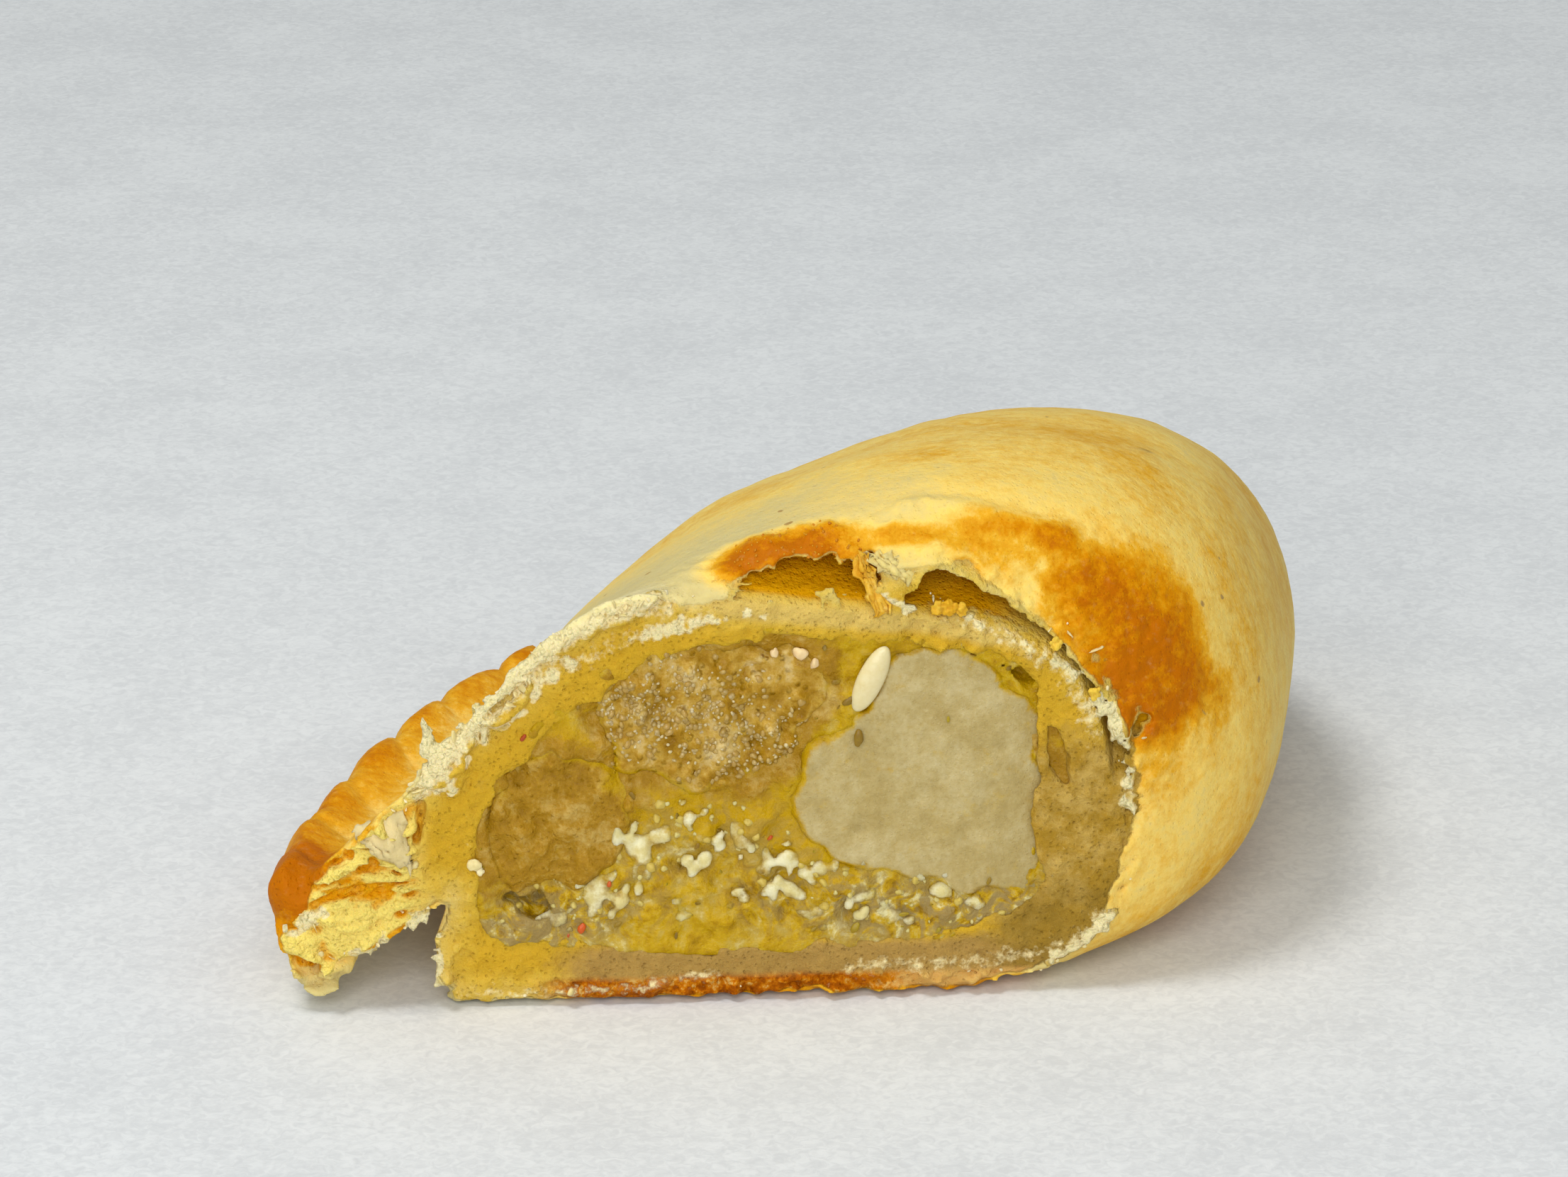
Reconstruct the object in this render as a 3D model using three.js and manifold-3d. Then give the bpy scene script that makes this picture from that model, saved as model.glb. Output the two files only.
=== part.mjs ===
// One half of a baked empanada, cut across its middle and resting on its flat base.
// Millimetres, +Z up. The cut face looks towards -Y, the crimped rim runs along the -X side and
// round the back to the tip, and the folded side of the dough is at +X. The pastry is a shell
// with a cavity that opens at the cut, and holds a herb and cheese paste with three potato cubes.
import * as THREE from 'three';
import { LoftGeometry } from 'three/addons/geometries/LoftGeometry.js';
import { mergeVertices } from 'three/addons/utils/BufferGeometryUtils.js';
import Module from 'manifold-3d';

// ---------------------------------------------------------------- driving dimensions

// Plan: the rim's outer edge is a slanted half ellipse from the cut to the tip.
const HALF_LENGTH = 73; // from the cut to where the tip starts to round off
const TIP_ROUNDING = 1.6; // how far the rounded tip stands beyond that
const RIM_START_X = -15; // the rim's outer edge at the cut, from the base's left corner
const RIM_BULGE = 46; // how far the rim's arc swings across
const AXIS_SLANT = 0.2; // how far the pastry leans to +X for each millimetre back
const RIM_TURN = THREE.MathUtils.degToRad(94); // the rim runs just round the tip
// The folded side, from the cut's right end round to the tip
const FOLD_LINE = [[51.6, 0], [57.6, 4], [62.6, 10.5], [66, 21], [68.2, 34], [68.7, 45.5], [67.3, 56.5],
  [64, 65], [58.6, 71]];

// Heights
const CUT_HEIGHT = 36.6; // crest at the cut
const PEAK_HEIGHT = 38.4; // crest of the dome
const PEAK_DISTANCE = 11; // how far behind the cut the crest peaks
const TIP_THICKNESS = 9;
const DOME_FALL = 0.7; // under 1 keeps the crest full and drops it late towards the tip
const PINCH_LENGTH = 14; // the knife squeezed the shape over this length behind the cut
const CAVITY_PINCH_LENGTH = 26; // the cavity widens more slowly than the outside

// Rim
const RIM_WIDTH = 13.6; // from the outer edge to the dough's wall
const RIM_HEIGHT = 11.2; // where the rim meets the dome
const RIM_LEAST = 0.45; // share of its height that the rim would keep at a crest of no height
const RIM_FULL_FROM = 20; // crest height from which the rim has its full height
const LOBE_PITCH = 8; // the crimp's fingers along the rim
const LOBE_START = 0.5; // arc length of the first crest, as a share of the pitch
const LOBE_RISE = 0.6;
const LOBE_REACH = 0.4;
const TUCK_START = 0.78; // from here to the tip the rim's underside closes against the body

// Shell, filling and the blister under the top skin
const CAVITY_END = 0.8; // share of the way to the tip
const CAVITY_ROUNDING = 0.62; // where the cavity starts to close
const CAVITY_CLOSING = 0.97; // how far it closes before its flat end
const GAP = 0.3; // clearance between touching pieces
const POCKET_DEPTH = 8;
const POCKET_RISE = 1.4; // it climbs with the dome towards its blind end
const POCKET_BLUNTNESS = 2.4; // 2 is an ellipsoid, more is a blunter end
const POTATO_BLUNTNESS = 3.2;
const OVERCUT = 1; // how far cutters stick out of the cut face

// Facets
const RING_POINTS = 48;
const CAVITY_RING_POINTS = 28;
const POTATO_RING_POINTS = 20;
const SECTIONS_PER_LOBE = 4;
const CAVITY_SECTIONS = 16;
const POTATO_SECTIONS = 6;
const POCKET_SECTIONS = 6;
const TIP_SECTIONS = 5;
const TIP_CLOSING = 0.9; // share of a quarter turn that the tip's rounding makes
const LUMP_CLOSING = 0.94; // the same for a potato or the blister
const RIM_LENGTH_STEPS = 400; // chords that measure the rim's arc
const SAME_POINT = 1e-4; // vertices closer than this are one

const PASTRY = { color: 0xdcb164, roughness: 0.62, metalness: 0 };
const PASTE = { color: 0xb9a04c, roughness: 0.45, metalness: 0 };
const POTATO = { color: 0xc9bd92, roughness: 0.5, metalness: 0 };

// ---------------------------------------------------------------- section outlines

// Outlines run counter-clockwise as seen from the cut, from the base's left corner. At the cut
// they are [x, z] in millimetres. Behind it the body is given in shares, [across, up], where
// across runs from the rim's root to the fold and up runs from the table to the crest, and the
// rim in millimetres from its outer edge.
const CUT_BODY = [[1.5, 0], [20, 0], [36, 0], [45.5, 2], [50, 6.5], [51.6, 13], [51.2, 20.5], [48.3, 26],
  [43, 31.3], [37, 34.8], [30, 36.5], [22, 36.2], [15.7, 33.8], [7.8, 29.5], [0.7, 21.8], [-2.1, 18.5]];
const CUT_RIM = [[-7.1, 14], [-10.4, 10.8], [-12.6, 11.2], [-13.9, 9], [-12.9, 5.6], [-11.2, 2.6], [-7.2, 4],
  [-4, 5.9], [-1.4, 7.8], [-0.4, 8.4], [-1.2, 5.5], [-1.1, 2.5], [0, 0.7]];
const BACK_BODY = [[0.04, 0], [0.42, 0], [0.74, 0], [0.88, 0.045], [0.965, 0.16], [1, 0.36], [0.99, 0.58],
  [0.95, 0.75], [0.88, 0.88], [0.79, 0.96], [0.66, 1], [0.51, 0.98], [0.36, 0.905], [0.22, 0.795],
  [0.105, 0.64], [0.01, 0.44]];
const BACK_RIM = [[9.4, 11.2], [5.6, 9.8], [1.8, 10.4], [0, 7.6], [1, 4.6], [3.2, 3.2], [7, 3.6],
  [10, 4.6], [12.4, 5.2], [13.2, 5.2], [13, 3.4], [13.2, 1.6], [14, 0.5]];
// How much of the crimp's lobes each point of the rim follows.
const RIM_LOBE_SHARE = [0, 0.3, 1, 0.7, 0.3, 0, 0, 0, 0, 0, 0, 0, 0];
// The rim at the tip, where the notch under it has closed.
const TIP_RIM = [[9.4, 12.6], [5.6, 11.6], [1.8, 10], [0, 7], [0.6, 4.4], [1.8, 2.4], [3.6, 1.2],
  [5.6, 0.5], [7.6, 0.2], [9.2, 0], [10.8, 0], [12.2, 0], [13.4, 0]];

const CUT_CAVITY = [[3.6, 5.3], [9.3, 4.6], [18, 3.8], [30, 4], [38, 4.8], [43.6, 7], [45, 12], [45, 18],
  [44.4, 23.4], [41.2, 27], [35, 27.9], [28.8, 28.6], [22.6, 29.2], [16, 28.4], [9.3, 24.2], [5.2, 19.8],
  [2.8, 15], [2.4, 9]];
const BACK_CAVITY = [[0.09, 0.13], [0.2, 0.115], [0.4, 0.115], [0.6, 0.115], [0.75, 0.12], [0.86, 0.17],
  [0.915, 0.28], [0.925, 0.42], [0.91, 0.58], [0.86, 0.73], [0.78, 0.82], [0.66, 0.87], [0.5, 0.855],
  [0.36, 0.79], [0.22, 0.68], [0.13, 0.54], [0.085, 0.4], [0.075, 0.24]];

// The blister under the top skin, [x, z] at the cut.
const POCKET = [[20.9, 33.2], [24, 32.3], [28.5, 31.9], [33.6, 31.1], [38, 30.4], [42, 29.6], [45, 28.5],
  [45.4, 29], [42.5, 31], [39, 32.7], [35.5, 33.6], [31, 34.7], [26.2, 35.2], [22.4, 34.7]];

// Potato cubes that the knife went through: outline at the cut and depth behind it.
const POTATOES = {
  potato_right: {
    depth: 15,
    outline: [[28.8, 21.3], [26.8, 19.8], [26.2, 15.3], [29.8, 10.8], [37, 9.2], [43.6, 7.6], [44.5, 10.3],
      [44.6, 16], [44, 23], [41.2, 25.3], [38.5, 27.3], [33.4, 27.2], [31.1, 22.7]],
  },
  potato_top: {
    depth: 11,
    outline: [[12, 20.6], [15.5, 18.2], [19.6, 16.9], [24, 18.6], [26.3, 21], [28.4, 23.6], [28, 26],
      [24.6, 28], [19.1, 28.4], [14.5, 26.9], [11.4, 23.4]],
  },
  potato_left: {
    depth: 10,
    outline: [[3.2, 11.3], [5, 9.5], [9.3, 9.5], [12.4, 11.9], [13.6, 15.2], [12.2, 18], [9.2, 19.6],
      [5.8, 19.4], [3.7, 17], [2.9, 13.2]],
  },
};

// ---------------------------------------------------------------- plan and heights

const { lerp, smoothstep } = THREE.MathUtils;
const QUARTER_TURN = Math.PI / 2;
const foldCurve = new THREE.SplineCurve(FOLD_LINE.map(([x, y]) => new THREE.Vector2(x, y)));

// The rim's outer edge in plan, at a share s of the way from the cut to the tip.
function rimAt(s) {
  const turn = s * RIM_TURN;
  const y = HALF_LENGTH * Math.sin(turn);
  return new THREE.Vector2(RIM_START_X + AXIS_SLANT * y + RIM_BULGE * (1 - Math.cos(turn)), y);
}

function rimArcLengths(steps) {
  const lengths = [0];
  for (let i = 1; i <= steps; i++) {
    lengths.push(lengths[i - 1] + rimAt(i / steps).distanceTo(rimAt((i - 1) / steps)));
  }
  return lengths;
}

const rimLengths = rimArcLengths(RIM_LENGTH_STEPS);
const rimLength = rimLengths.at(-1);

function rimLengthTo(s) {
  const at = s * (rimLengths.length - 1);
  const low = Math.min(Math.floor(at), rimLengths.length - 2);
  return lerp(rimLengths[low], rimLengths[low + 1], at - low);
}

// The upright plane of a section: it spans from the rim's outer edge to the fold.
function fanPlane(s) {
  const outer = rimAt(s);
  const fold = foldCurve.getPointAt(s);
  const width = outer.distanceTo(fold);
  const across = fold.clone().sub(outer).divideScalar(width);
  const rimScale = Math.min(1, width / (2 * RIM_WIDTH)); // at the tip the rim takes half the width
  const height = crestHeight((outer.y + fold.y) / 2);
  const rimRise = Math.min(1, lerp(RIM_LEAST, 1, height / RIM_FULL_FROM)); // it thins towards the tip
  return { outer, across, width, rimScale, height, rimRise };
}

function crestHeight(distance) {
  if (distance < PEAK_DISTANCE) {
    return lerp(CUT_HEIGHT, PEAK_HEIGHT, smoothstep(distance, 0, PEAK_DISTANCE));
  }
  const share = Math.min(1, (distance - PEAK_DISTANCE) / (HALF_LENGTH - PEAK_DISTANCE));
  return lerp(TIP_THICKNESS, PEAK_HEIGHT, (1 - share ** 2) ** DOME_FALL);
}

// ---------------------------------------------------------------- outlines in a fan plane

// Mixes the outline at the cut with the one behind it. Points are [millimetres from the rim's
// outer edge, height].
function bodyOutline(plane, cutPoints, backPoints, pinchLength) {
  const pinch = smoothstep(plane.outer.y, 0, pinchLength);
  const cutWidth = FOLD_LINE[0][0] - RIM_START_X;
  const root = RIM_WIDTH * plane.rimScale;
  return cutPoints.map(([x, z], i) => {
    const share = lerp((x - RIM_START_X - RIM_WIDTH) / (cutWidth - RIM_WIDTH), backPoints[i][0], pinch);
    const up = lerp(z / CUT_HEIGHT, backPoints[i][1], pinch);
    return [root + share * (plane.width - root), heightAt(plane, up)];
  });
}

// A share of the crest's height in millimetres. The part of the body beside the rim thins with
// the rim, and the part above it with the crest, so that the two meet level at the tip.
function heightAt(plane, up) {
  const rimShare = RIM_HEIGHT / PEAK_HEIGHT;
  const rimTop = RIM_HEIGHT * plane.rimRise;
  if (up < rimShare) return (up / rimShare) * rimTop;
  return lerp(rimTop, plane.height, (up - rimShare) / (1 - rimShare));
}

function rimOutline(plane, s) {
  const pinch = smoothstep(plane.outer.y, 0, PINCH_LENGTH);
  const lobe = Math.cos(2 * Math.PI * (rimLengthTo(s) / LOBE_PITCH - LOBE_START)) * pinch;
  const tuck = smoothstep(s, TUCK_START, 1);
  return CUT_RIM.map(([x, z], i) => {
    const follow = RIM_LOBE_SHARE[i] * lobe;
    const out = lerp(lerp(x - RIM_START_X, BACK_RIM[i][0], pinch), TIP_RIM[i][0], tuck);
    const height = lerp(lerp(z, BACK_RIM[i][1], pinch), TIP_RIM[i][1], tuck);
    return [(out - LOBE_REACH * follow) * plane.rimScale, (height + LOBE_RISE * follow) * plane.rimRise];
  });
}

// A closed smooth ring through the outline, never below the table.
function ring(outline, count) {
  const closed = [...outline, outline[0]].map(([a, z]) => new THREE.Vector2(a, z));
  const points = new THREE.SplineCurve(closed).getPoints(count).slice(0, count);
  return points.map((p) => new THREE.Vector2(p.x, Math.max(0, p.y)));
}

// Moves each point of a counter-clockwise ring inwards, or outwards if amount is negative.
function inset(points, amount) {
  return points.map((p, i) => {
    const before = points[(i + points.length - 1) % points.length];
    const after = points[(i + 1) % points.length];
    const along = after.clone().sub(before).normalize();
    return new THREE.Vector2(p.x - along.y * amount, p.y + along.x * amount);
  });
}

function placeInFan(plane, points, forward = 0) {
  return points.map((p) => new THREE.Vector3(
    plane.outer.x + plane.across.x * p.x,
    plane.outer.y + plane.across.y * p.x - forward,
    p.y,
  ));
}

function centreOf(points) {
  return points.reduce((sum, p) => sum.add(p), new THREE.Vector2()).divideScalar(points.length);
}

function shrinkTo(points, centre, scale) {
  return points.map((p) => p.clone().sub(centre).multiplyScalar(scale).add(centre));
}

// ---------------------------------------------------------------- lofts

function loft(sections) {
  const clockwise = sections.map((section) => [...section].reverse());
  return new LoftGeometry(clockwise, { capStart: true, capEnd: true });
}

// Rounds the tip off: copies of the last section, each further out and smaller.
function tipSections(last) {
  const centre = last.reduce((sum, p) => sum.add(p), new THREE.Vector3()).divideScalar(last.length);
  const { across } = fanPlane(1);
  const outwards = new THREE.Vector3(-across.y, across.x, 0);
  return Array.from({ length: TIP_SECTIONS }, (_, i) => {
    const turn = ((i + 1) / TIP_SECTIONS) * TIP_CLOSING * QUARTER_TURN;
    const shift = outwards.clone().multiplyScalar(TIP_ROUNDING * Math.sin(turn));
    return last.map((p) => p.clone().sub(centre).multiplyScalar(Math.cos(turn)).add(centre).add(shift));
  });
}

function outerLoft() {
  const count = Math.round(rimLength / LOBE_PITCH) * SECTIONS_PER_LOBE;
  const sections = [];
  for (let i = 0; i <= count; i++) {
    const s = i / count;
    const plane = fanPlane(s);
    const outline = [...bodyOutline(plane, CUT_BODY, BACK_BODY, PINCH_LENGTH), ...rimOutline(plane, s)];
    sections.push(placeInFan(plane, ring(outline, RING_POINTS)));
  }
  return loft([...sections, ...tipSections(sections.at(-1))]);
}

// The space inside the pastry, or the filling when gap is the clearance to the pastry. The
// first section lies forward of the cut by overcut.
function cavityLoft(gap, overcut) {
  const end = CAVITY_END - gap / HALF_LENGTH;
  const sections = [];
  for (let i = 0; i <= CAVITY_SECTIONS; i++) {
    const s = (end * i) / CAVITY_SECTIONS;
    const plane = fanPlane(s);
    const outline = bodyOutline(plane, CUT_CAVITY, BACK_CAVITY, CAVITY_PINCH_LENGTH);
    const points = inset(ring(outline, CAVITY_RING_POINTS), gap);
    const closing = Math.max(0, (s - CAVITY_ROUNDING) / (end - CAVITY_ROUNDING)) * CAVITY_CLOSING;
    const rounded = shrinkTo(points, centreOf(points), Math.sqrt(1 - closing ** 2));
    if (i === 0 && overcut > 0) sections.push(placeInFan(plane, rounded, overcut));
    sections.push(placeInFan(plane, rounded));
  }
  return loft(sections);
}

// A lump cut by the knife: its outline at the cut, shrinking to a blunt end at its depth and
// climbing by rise on the way.
function lumpLoft(outline, { depth, count, sectionCount, blunt, grow = 0, rise = 0 }) {
  const points = inset(ring(outline, count), -grow);
  const centre = centreOf(points);
  const sections = [points.map((p) => new THREE.Vector3(p.x, -OVERCUT, p.y))];
  for (let i = 0; i <= sectionCount; i++) {
    const share = Math.sin((i / sectionCount) * LUMP_CLOSING * QUARTER_TURN);
    const scale = (1 - share ** blunt) ** (1 / blunt);
    const section = shrinkTo(points, centre, scale);
    sections.push(section.map((p) => new THREE.Vector3(p.x, share * (depth + grow), p.y + share * rise)));
  }
  return loft(sections);
}

// ---------------------------------------------------------------- joining and cutting

const wasm = await Module();
wasm.setup();

function solid(geometry) {
  const bare = new THREE.BufferGeometry();
  bare.setAttribute('position', geometry.attributes.position);
  bare.setIndex(geometry.index);
  const merged = mergeVertices(bare, SAME_POINT);
  return new wasm.Manifold(new wasm.Mesh({
    numProp: 3,
    vertProperties: new Float32Array(merged.attributes.position.array),
    triVerts: new Uint32Array(merged.index.array),
  }));
}

function largestPiece(manifold) {
  return manifold.decompose().reduce((best, piece) => (piece.volume() > best.volume() ? piece : best));
}

function geometryOf(manifold) {
  const mesh = manifold.getMesh();
  const geometry = new THREE.BufferGeometry();
  geometry.setAttribute('position', new THREE.Float32BufferAttribute(mesh.vertProperties, 3));
  geometry.setIndex(new THREE.Uint32BufferAttribute(mesh.triVerts, 1));
  geometry.computeVertexNormals();
  return geometry;
}

// ---------------------------------------------------------------- pieces

function crustSolid() {
  const cavity = solid(cavityLoft(0, OVERCUT));
  const pocket = solid(lumpLoft(POCKET, {
    depth: POCKET_DEPTH,
    rise: POCKET_RISE,
    count: POTATO_RING_POINTS,
    sectionCount: POCKET_SECTIONS,
    blunt: POCKET_BLUNTNESS,
  }));
  return largestPiece(solid(outerLoft()).subtract(cavity).subtract(pocket));
}

function potatoSolid({ outline, depth }, space, grow = 0) {
  const lump = solid(lumpLoft(outline, {
    depth,
    grow,
    count: POTATO_RING_POINTS,
    sectionCount: POTATO_SECTIONS,
    blunt: POTATO_BLUNTNESS,
  }));
  return space ? largestPiece(lump.intersect(space)) : lump;
}

const fillingSpace = solid(cavityLoft(GAP, 0));
const potatoSpaces = Object.values(POTATOES).map((potato) => potatoSolid(potato, null, GAP));
const paste = potatoSpaces.reduce((left, space) => left.subtract(space), fillingSpace);

const pieces = [['crust', crustSolid(), PASTRY], ['filling', largestPiece(paste), PASTE]];
for (const [name, potato] of Object.entries(POTATOES)) {
  pieces.push([name, potatoSolid(potato, fillingSpace), POTATO]);
}

// The origin lies under the middle of the whole half.
const half = new THREE.Group();
const bounds = new THREE.Box3();
for (const [name, manifold, look] of pieces) {
  const mesh = new THREE.Mesh(geometryOf(manifold), new THREE.MeshStandardMaterial(look));
  mesh.name = name;
  half.add(mesh);
  bounds.expandByObject(mesh);
}
const middle = bounds.getCenter(new THREE.Vector3());
half.position.set(-middle.x, -middle.y, -bounds.min.z);

const empanada = new THREE.Group();
empanada.add(half);

export default empanada;
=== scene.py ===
"""One half of a baked empanada, cut across and resting on its base, with its crumbs and herbs.

Shapes are worked out in millimetres in the work frame: x runs along the cut from the base's
left corner, y runs back from the cut and z up from the table. Pieces are signed distance
fields on one grid, negative inside, joined and cut there and then turned into meshes.
"""

import math

import bpy
import numpy as np
import openvdb as vdb
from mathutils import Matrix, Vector


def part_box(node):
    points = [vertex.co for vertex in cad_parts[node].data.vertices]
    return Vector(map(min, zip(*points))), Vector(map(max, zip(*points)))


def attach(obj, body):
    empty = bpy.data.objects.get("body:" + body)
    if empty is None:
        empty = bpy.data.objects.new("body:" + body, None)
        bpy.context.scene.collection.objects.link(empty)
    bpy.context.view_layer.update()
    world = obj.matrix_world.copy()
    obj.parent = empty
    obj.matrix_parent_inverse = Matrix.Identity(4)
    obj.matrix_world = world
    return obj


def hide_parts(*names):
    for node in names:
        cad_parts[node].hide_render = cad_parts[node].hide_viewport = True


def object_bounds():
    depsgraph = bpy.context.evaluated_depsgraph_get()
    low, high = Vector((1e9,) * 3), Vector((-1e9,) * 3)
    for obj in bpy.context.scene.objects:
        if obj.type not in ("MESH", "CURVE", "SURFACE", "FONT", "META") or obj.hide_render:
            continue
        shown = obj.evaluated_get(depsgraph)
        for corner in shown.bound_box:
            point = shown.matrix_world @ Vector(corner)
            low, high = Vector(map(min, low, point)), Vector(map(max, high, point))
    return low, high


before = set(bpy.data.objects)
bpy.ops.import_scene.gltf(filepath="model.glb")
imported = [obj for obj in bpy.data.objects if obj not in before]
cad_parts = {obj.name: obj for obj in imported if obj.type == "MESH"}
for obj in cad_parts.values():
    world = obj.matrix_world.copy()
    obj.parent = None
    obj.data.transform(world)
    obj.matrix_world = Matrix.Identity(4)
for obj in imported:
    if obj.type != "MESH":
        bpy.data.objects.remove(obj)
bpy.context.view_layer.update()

# ------------------------------------------------------------------ driving dimensions

MM = 0.001
RIM_OVERHANG = 13.76  # from the base's left corner to the rim's outermost point, at -x

# Plan and heights, as in the frame
HALF_LENGTH = 73.0
TIP_ROUNDING = 1.6
RIM_START_X = -15.0
RIM_BULGE = 46.0
AXIS_SLANT = 0.2
RIM_TURN = math.radians(94)
FOLD_LINE = [(51.6, 0), (57.6, 4), (62.6, 10.5), (66, 21), (68.2, 34), (68.7, 45.5), (67.3, 56.5),
             (64, 65), (58.6, 71)]
CUT_HEIGHT = 36.6
PEAK_HEIGHT = 38.4
PEAK_DISTANCE = 11.0
TIP_THICKNESS = 9.0
DOME_FALL = 0.7
PINCH_LENGTH = 14.0
CAVITY_PINCH_LENGTH = 26.0

# Rim
RIM_WIDTH = 13.6
RIM_HEIGHT = 11.2
RIM_LEAST = 0.45
RIM_FULL_FROM = 20.0
LOBE_PITCH = 8.0
ROPE_SLANT = 0.07  # how far round a crease leans, in lobes for each millimetre in from the edge
LOBE_START = 0.5
LOBE_RISE = 0.22
LOBE_REACH = 0.1
TUCK_START = 0.78

# Cavity
CAVITY_END = 0.8
CAVITY_ROUNDING = 0.62
CAVITY_CLOSING = 0.97

# Outlines run counter-clockwise as seen from the cut. At the cut they are [x, z]. Behind it
# the body is in shares of the way across and up, and the rim in millimetres from its edge.
CUT_BODY = [(1.5, 0), (20, 0), (36, 0), (45.5, 2), (50, 6.5), (51.6, 13), (51.2, 20.5), (48.3, 26),
            (43, 31.3), (37, 34.8), (30, 36.5), (22, 36.2), (15.7, 33.8), (7.8, 29.5), (0.7, 21.8),
            (-2.1, 18.5)]
CUT_RIM = [(-7.1, 14), (-10.4, 10.8), (-12.6, 11.2), (-13.9, 9), (-12.9, 5.6), (-11.2, 2.6), (-7.2, 4),
           (-4, 5.9), (-1.4, 7.8), (-0.4, 8.4), (-1.2, 5.5), (-1.1, 2.5), (0, 0.7)]
BACK_BODY = [(0.04, 0), (0.42, 0), (0.74, 0), (0.88, 0.045), (0.965, 0.16), (1, 0.36), (0.99, 0.58),
             (0.95, 0.75), (0.88, 0.88), (0.79, 0.96), (0.66, 1), (0.51, 0.98), (0.36, 0.905),
             (0.22, 0.795), (0.105, 0.64), (0.01, 0.44)]
BACK_RIM = [(9.4, 11.2), (5.6, 9.4), (1.8, 10.4), (0, 7.6), (1, 4.6), (3.2, 3.2), (7, 3.6), (10, 4.6),
            (12.4, 5.2), (13.2, 5.2), (13, 3.4), (13.2, 1.6), (14, 0.5)]
RIM_LOBE_SHARE = [0, 0.3, 1, 0.7, 0.3, 0, 0, 0, 0, 0, 0, 0, 0]
TIP_RIM = [(9.4, 12.6), (5.6, 11.6), (1.8, 10), (0, 7), (0.6, 4.4), (1.8, 2.4), (3.6, 1.2), (5.6, 0.5),
           (7.6, 0.2), (9.2, 0), (10.8, 0), (12.2, 0), (13.4, 0)]
CUT_CAVITY = [(3.6, 5.3), (9.3, 4.6), (18, 3.8), (30, 4), (38, 4.8), (43.6, 7), (45, 12), (45, 18),
              (44.4, 23.4), (41.2, 27), (35, 27.9), (28.8, 28.6), (22.6, 29.2), (16, 28.4), (9.3, 24.2),
              (5.2, 19.8), (2.8, 15), (2.4, 9)]
BACK_CAVITY = [(0.09, 0.13), (0.2, 0.115), (0.4, 0.115), (0.6, 0.115), (0.75, 0.12), (0.86, 0.17),
               (0.915, 0.28), (0.925, 0.42), (0.91, 0.58), (0.86, 0.73), (0.78, 0.82), (0.66, 0.87),
               (0.5, 0.855), (0.36, 0.79), (0.22, 0.68), (0.13, 0.54), (0.085, 0.4), (0.075, 0.24)]
# Each potato's depth behind the cut and outline on it. Its face has an unevenness with a seed and
# a grain, is set back, and has the paste smeared so far over its rim.
POTATOES = {
    "potato_right": {
        "depth": 15.0,
        "uneven": 0.10, "seed": 101, "grain": 1.6, "set_back": 0.10, "smear": 0.7,
        "outline": [(28.8, 21.3), (26.8, 19.8), (26.2, 15.3), (29.8, 10.8), (37, 9.2), (43.6, 7.6),
                    (44.5, 10.3), (44.6, 16), (44, 23), (41.2, 25.3), (38.5, 27.3), (33.4, 27.2),
                    (31.1, 22.7)],
    },
    "potato_top": {
        "depth": 11.0,
        "uneven": 0.30, "seed": 111, "grain": 1.2, "set_back": 0.20, "smear": 1.0,
        "outline": [(12, 20.6), (15.5, 18.2), (19.6, 16.9), (24, 18.6), (26.3, 21), (28.4, 23.6),
                    (28, 26), (24.6, 28), (19.1, 28.4), (14.5, 26.9), (11.4, 23.4)],
    },
    "potato_left": {
        "depth": 10.0,
        "uneven": 0.24, "seed": 121, "grain": 1.5, "set_back": 0.24, "smear": 1.0,
        "outline": [(3.2, 11.3), (5, 9.5), (9.3, 9.5), (12.4, 11.9), (13.6, 15.2), (12.2, 18),
                    (9.2, 19.6), (5.8, 19.4), (3.7, 17), (2.9, 13.2)],
    },
}
POTATO_CORNER = 2.0  # how far a cube's corners are boiled round

# The blister under the top skin: the dough below it, from left to right as [x, z] at the cut
LEDGE = [(17.6, 34.9), (18.8, 33.6), (20.9, 32.6), (24, 32.1), (28.5, 31.6), (33.6, 31.1), (38, 30.5),
         (42, 29.5), (45, 27.6), (47.2, 25.4), (48.8, 22), (50, 17)]
BLISTER_DEPTH = [(17.2, 0), (20, 3.6), (24, 5.6), (38, 5.6), (44, 4), (50, 2)]  # [x, how far back]
SKIN_THICKNESS = 0.75

# The grid
VOXEL = 0.25
GRID_LOW = np.array([-15.5, -1.75, -1.0])
GRID_HIGH = np.array([70.5, 76.0, 40.0])
FRONT_DEPTH = 17.5  # how far back the cut's own detail reaches
BAND_VOXELS = 14.0

# Lofts
FRONT_MARGIN = 4.0  # how far the lofts run on in front of the cut
OUTER_SECTIONS = 170
OUTER_RING = 420
CAVITY_LOFT_SECTIONS = 60
CAVITY_RING = 200
TIP_SECTIONS = 8
TIP_TURN = 0.47 * math.pi  # how far round the closing of the tip goes


# ------------------------------------------------------------------ small helpers

def lerp(a, b, t):
    """From a at 0 to b at 1."""
    return a + (b - a) * t


def smooth(t):
    """0 to 1 with soft ends."""
    t = np.clip(t, 0, 1)
    return t * t * (3 - 2 * t)


def ramp(x, low, high):
    """0 below low and 1 above high, or the other way round where high is the lower of the two."""
    return smooth((x - low) / (high - low))


def bump(x, middle, half_width):
    """1 at the middle, falling smoothly to 0 at half_width on either side."""
    return smooth(1 - np.abs(x - middle) / half_width)


def along(points, x):
    """The height at x of the line through [x, height] points."""
    xs, heights = zip(*points)
    return np.interp(x, xs, heights)


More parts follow.
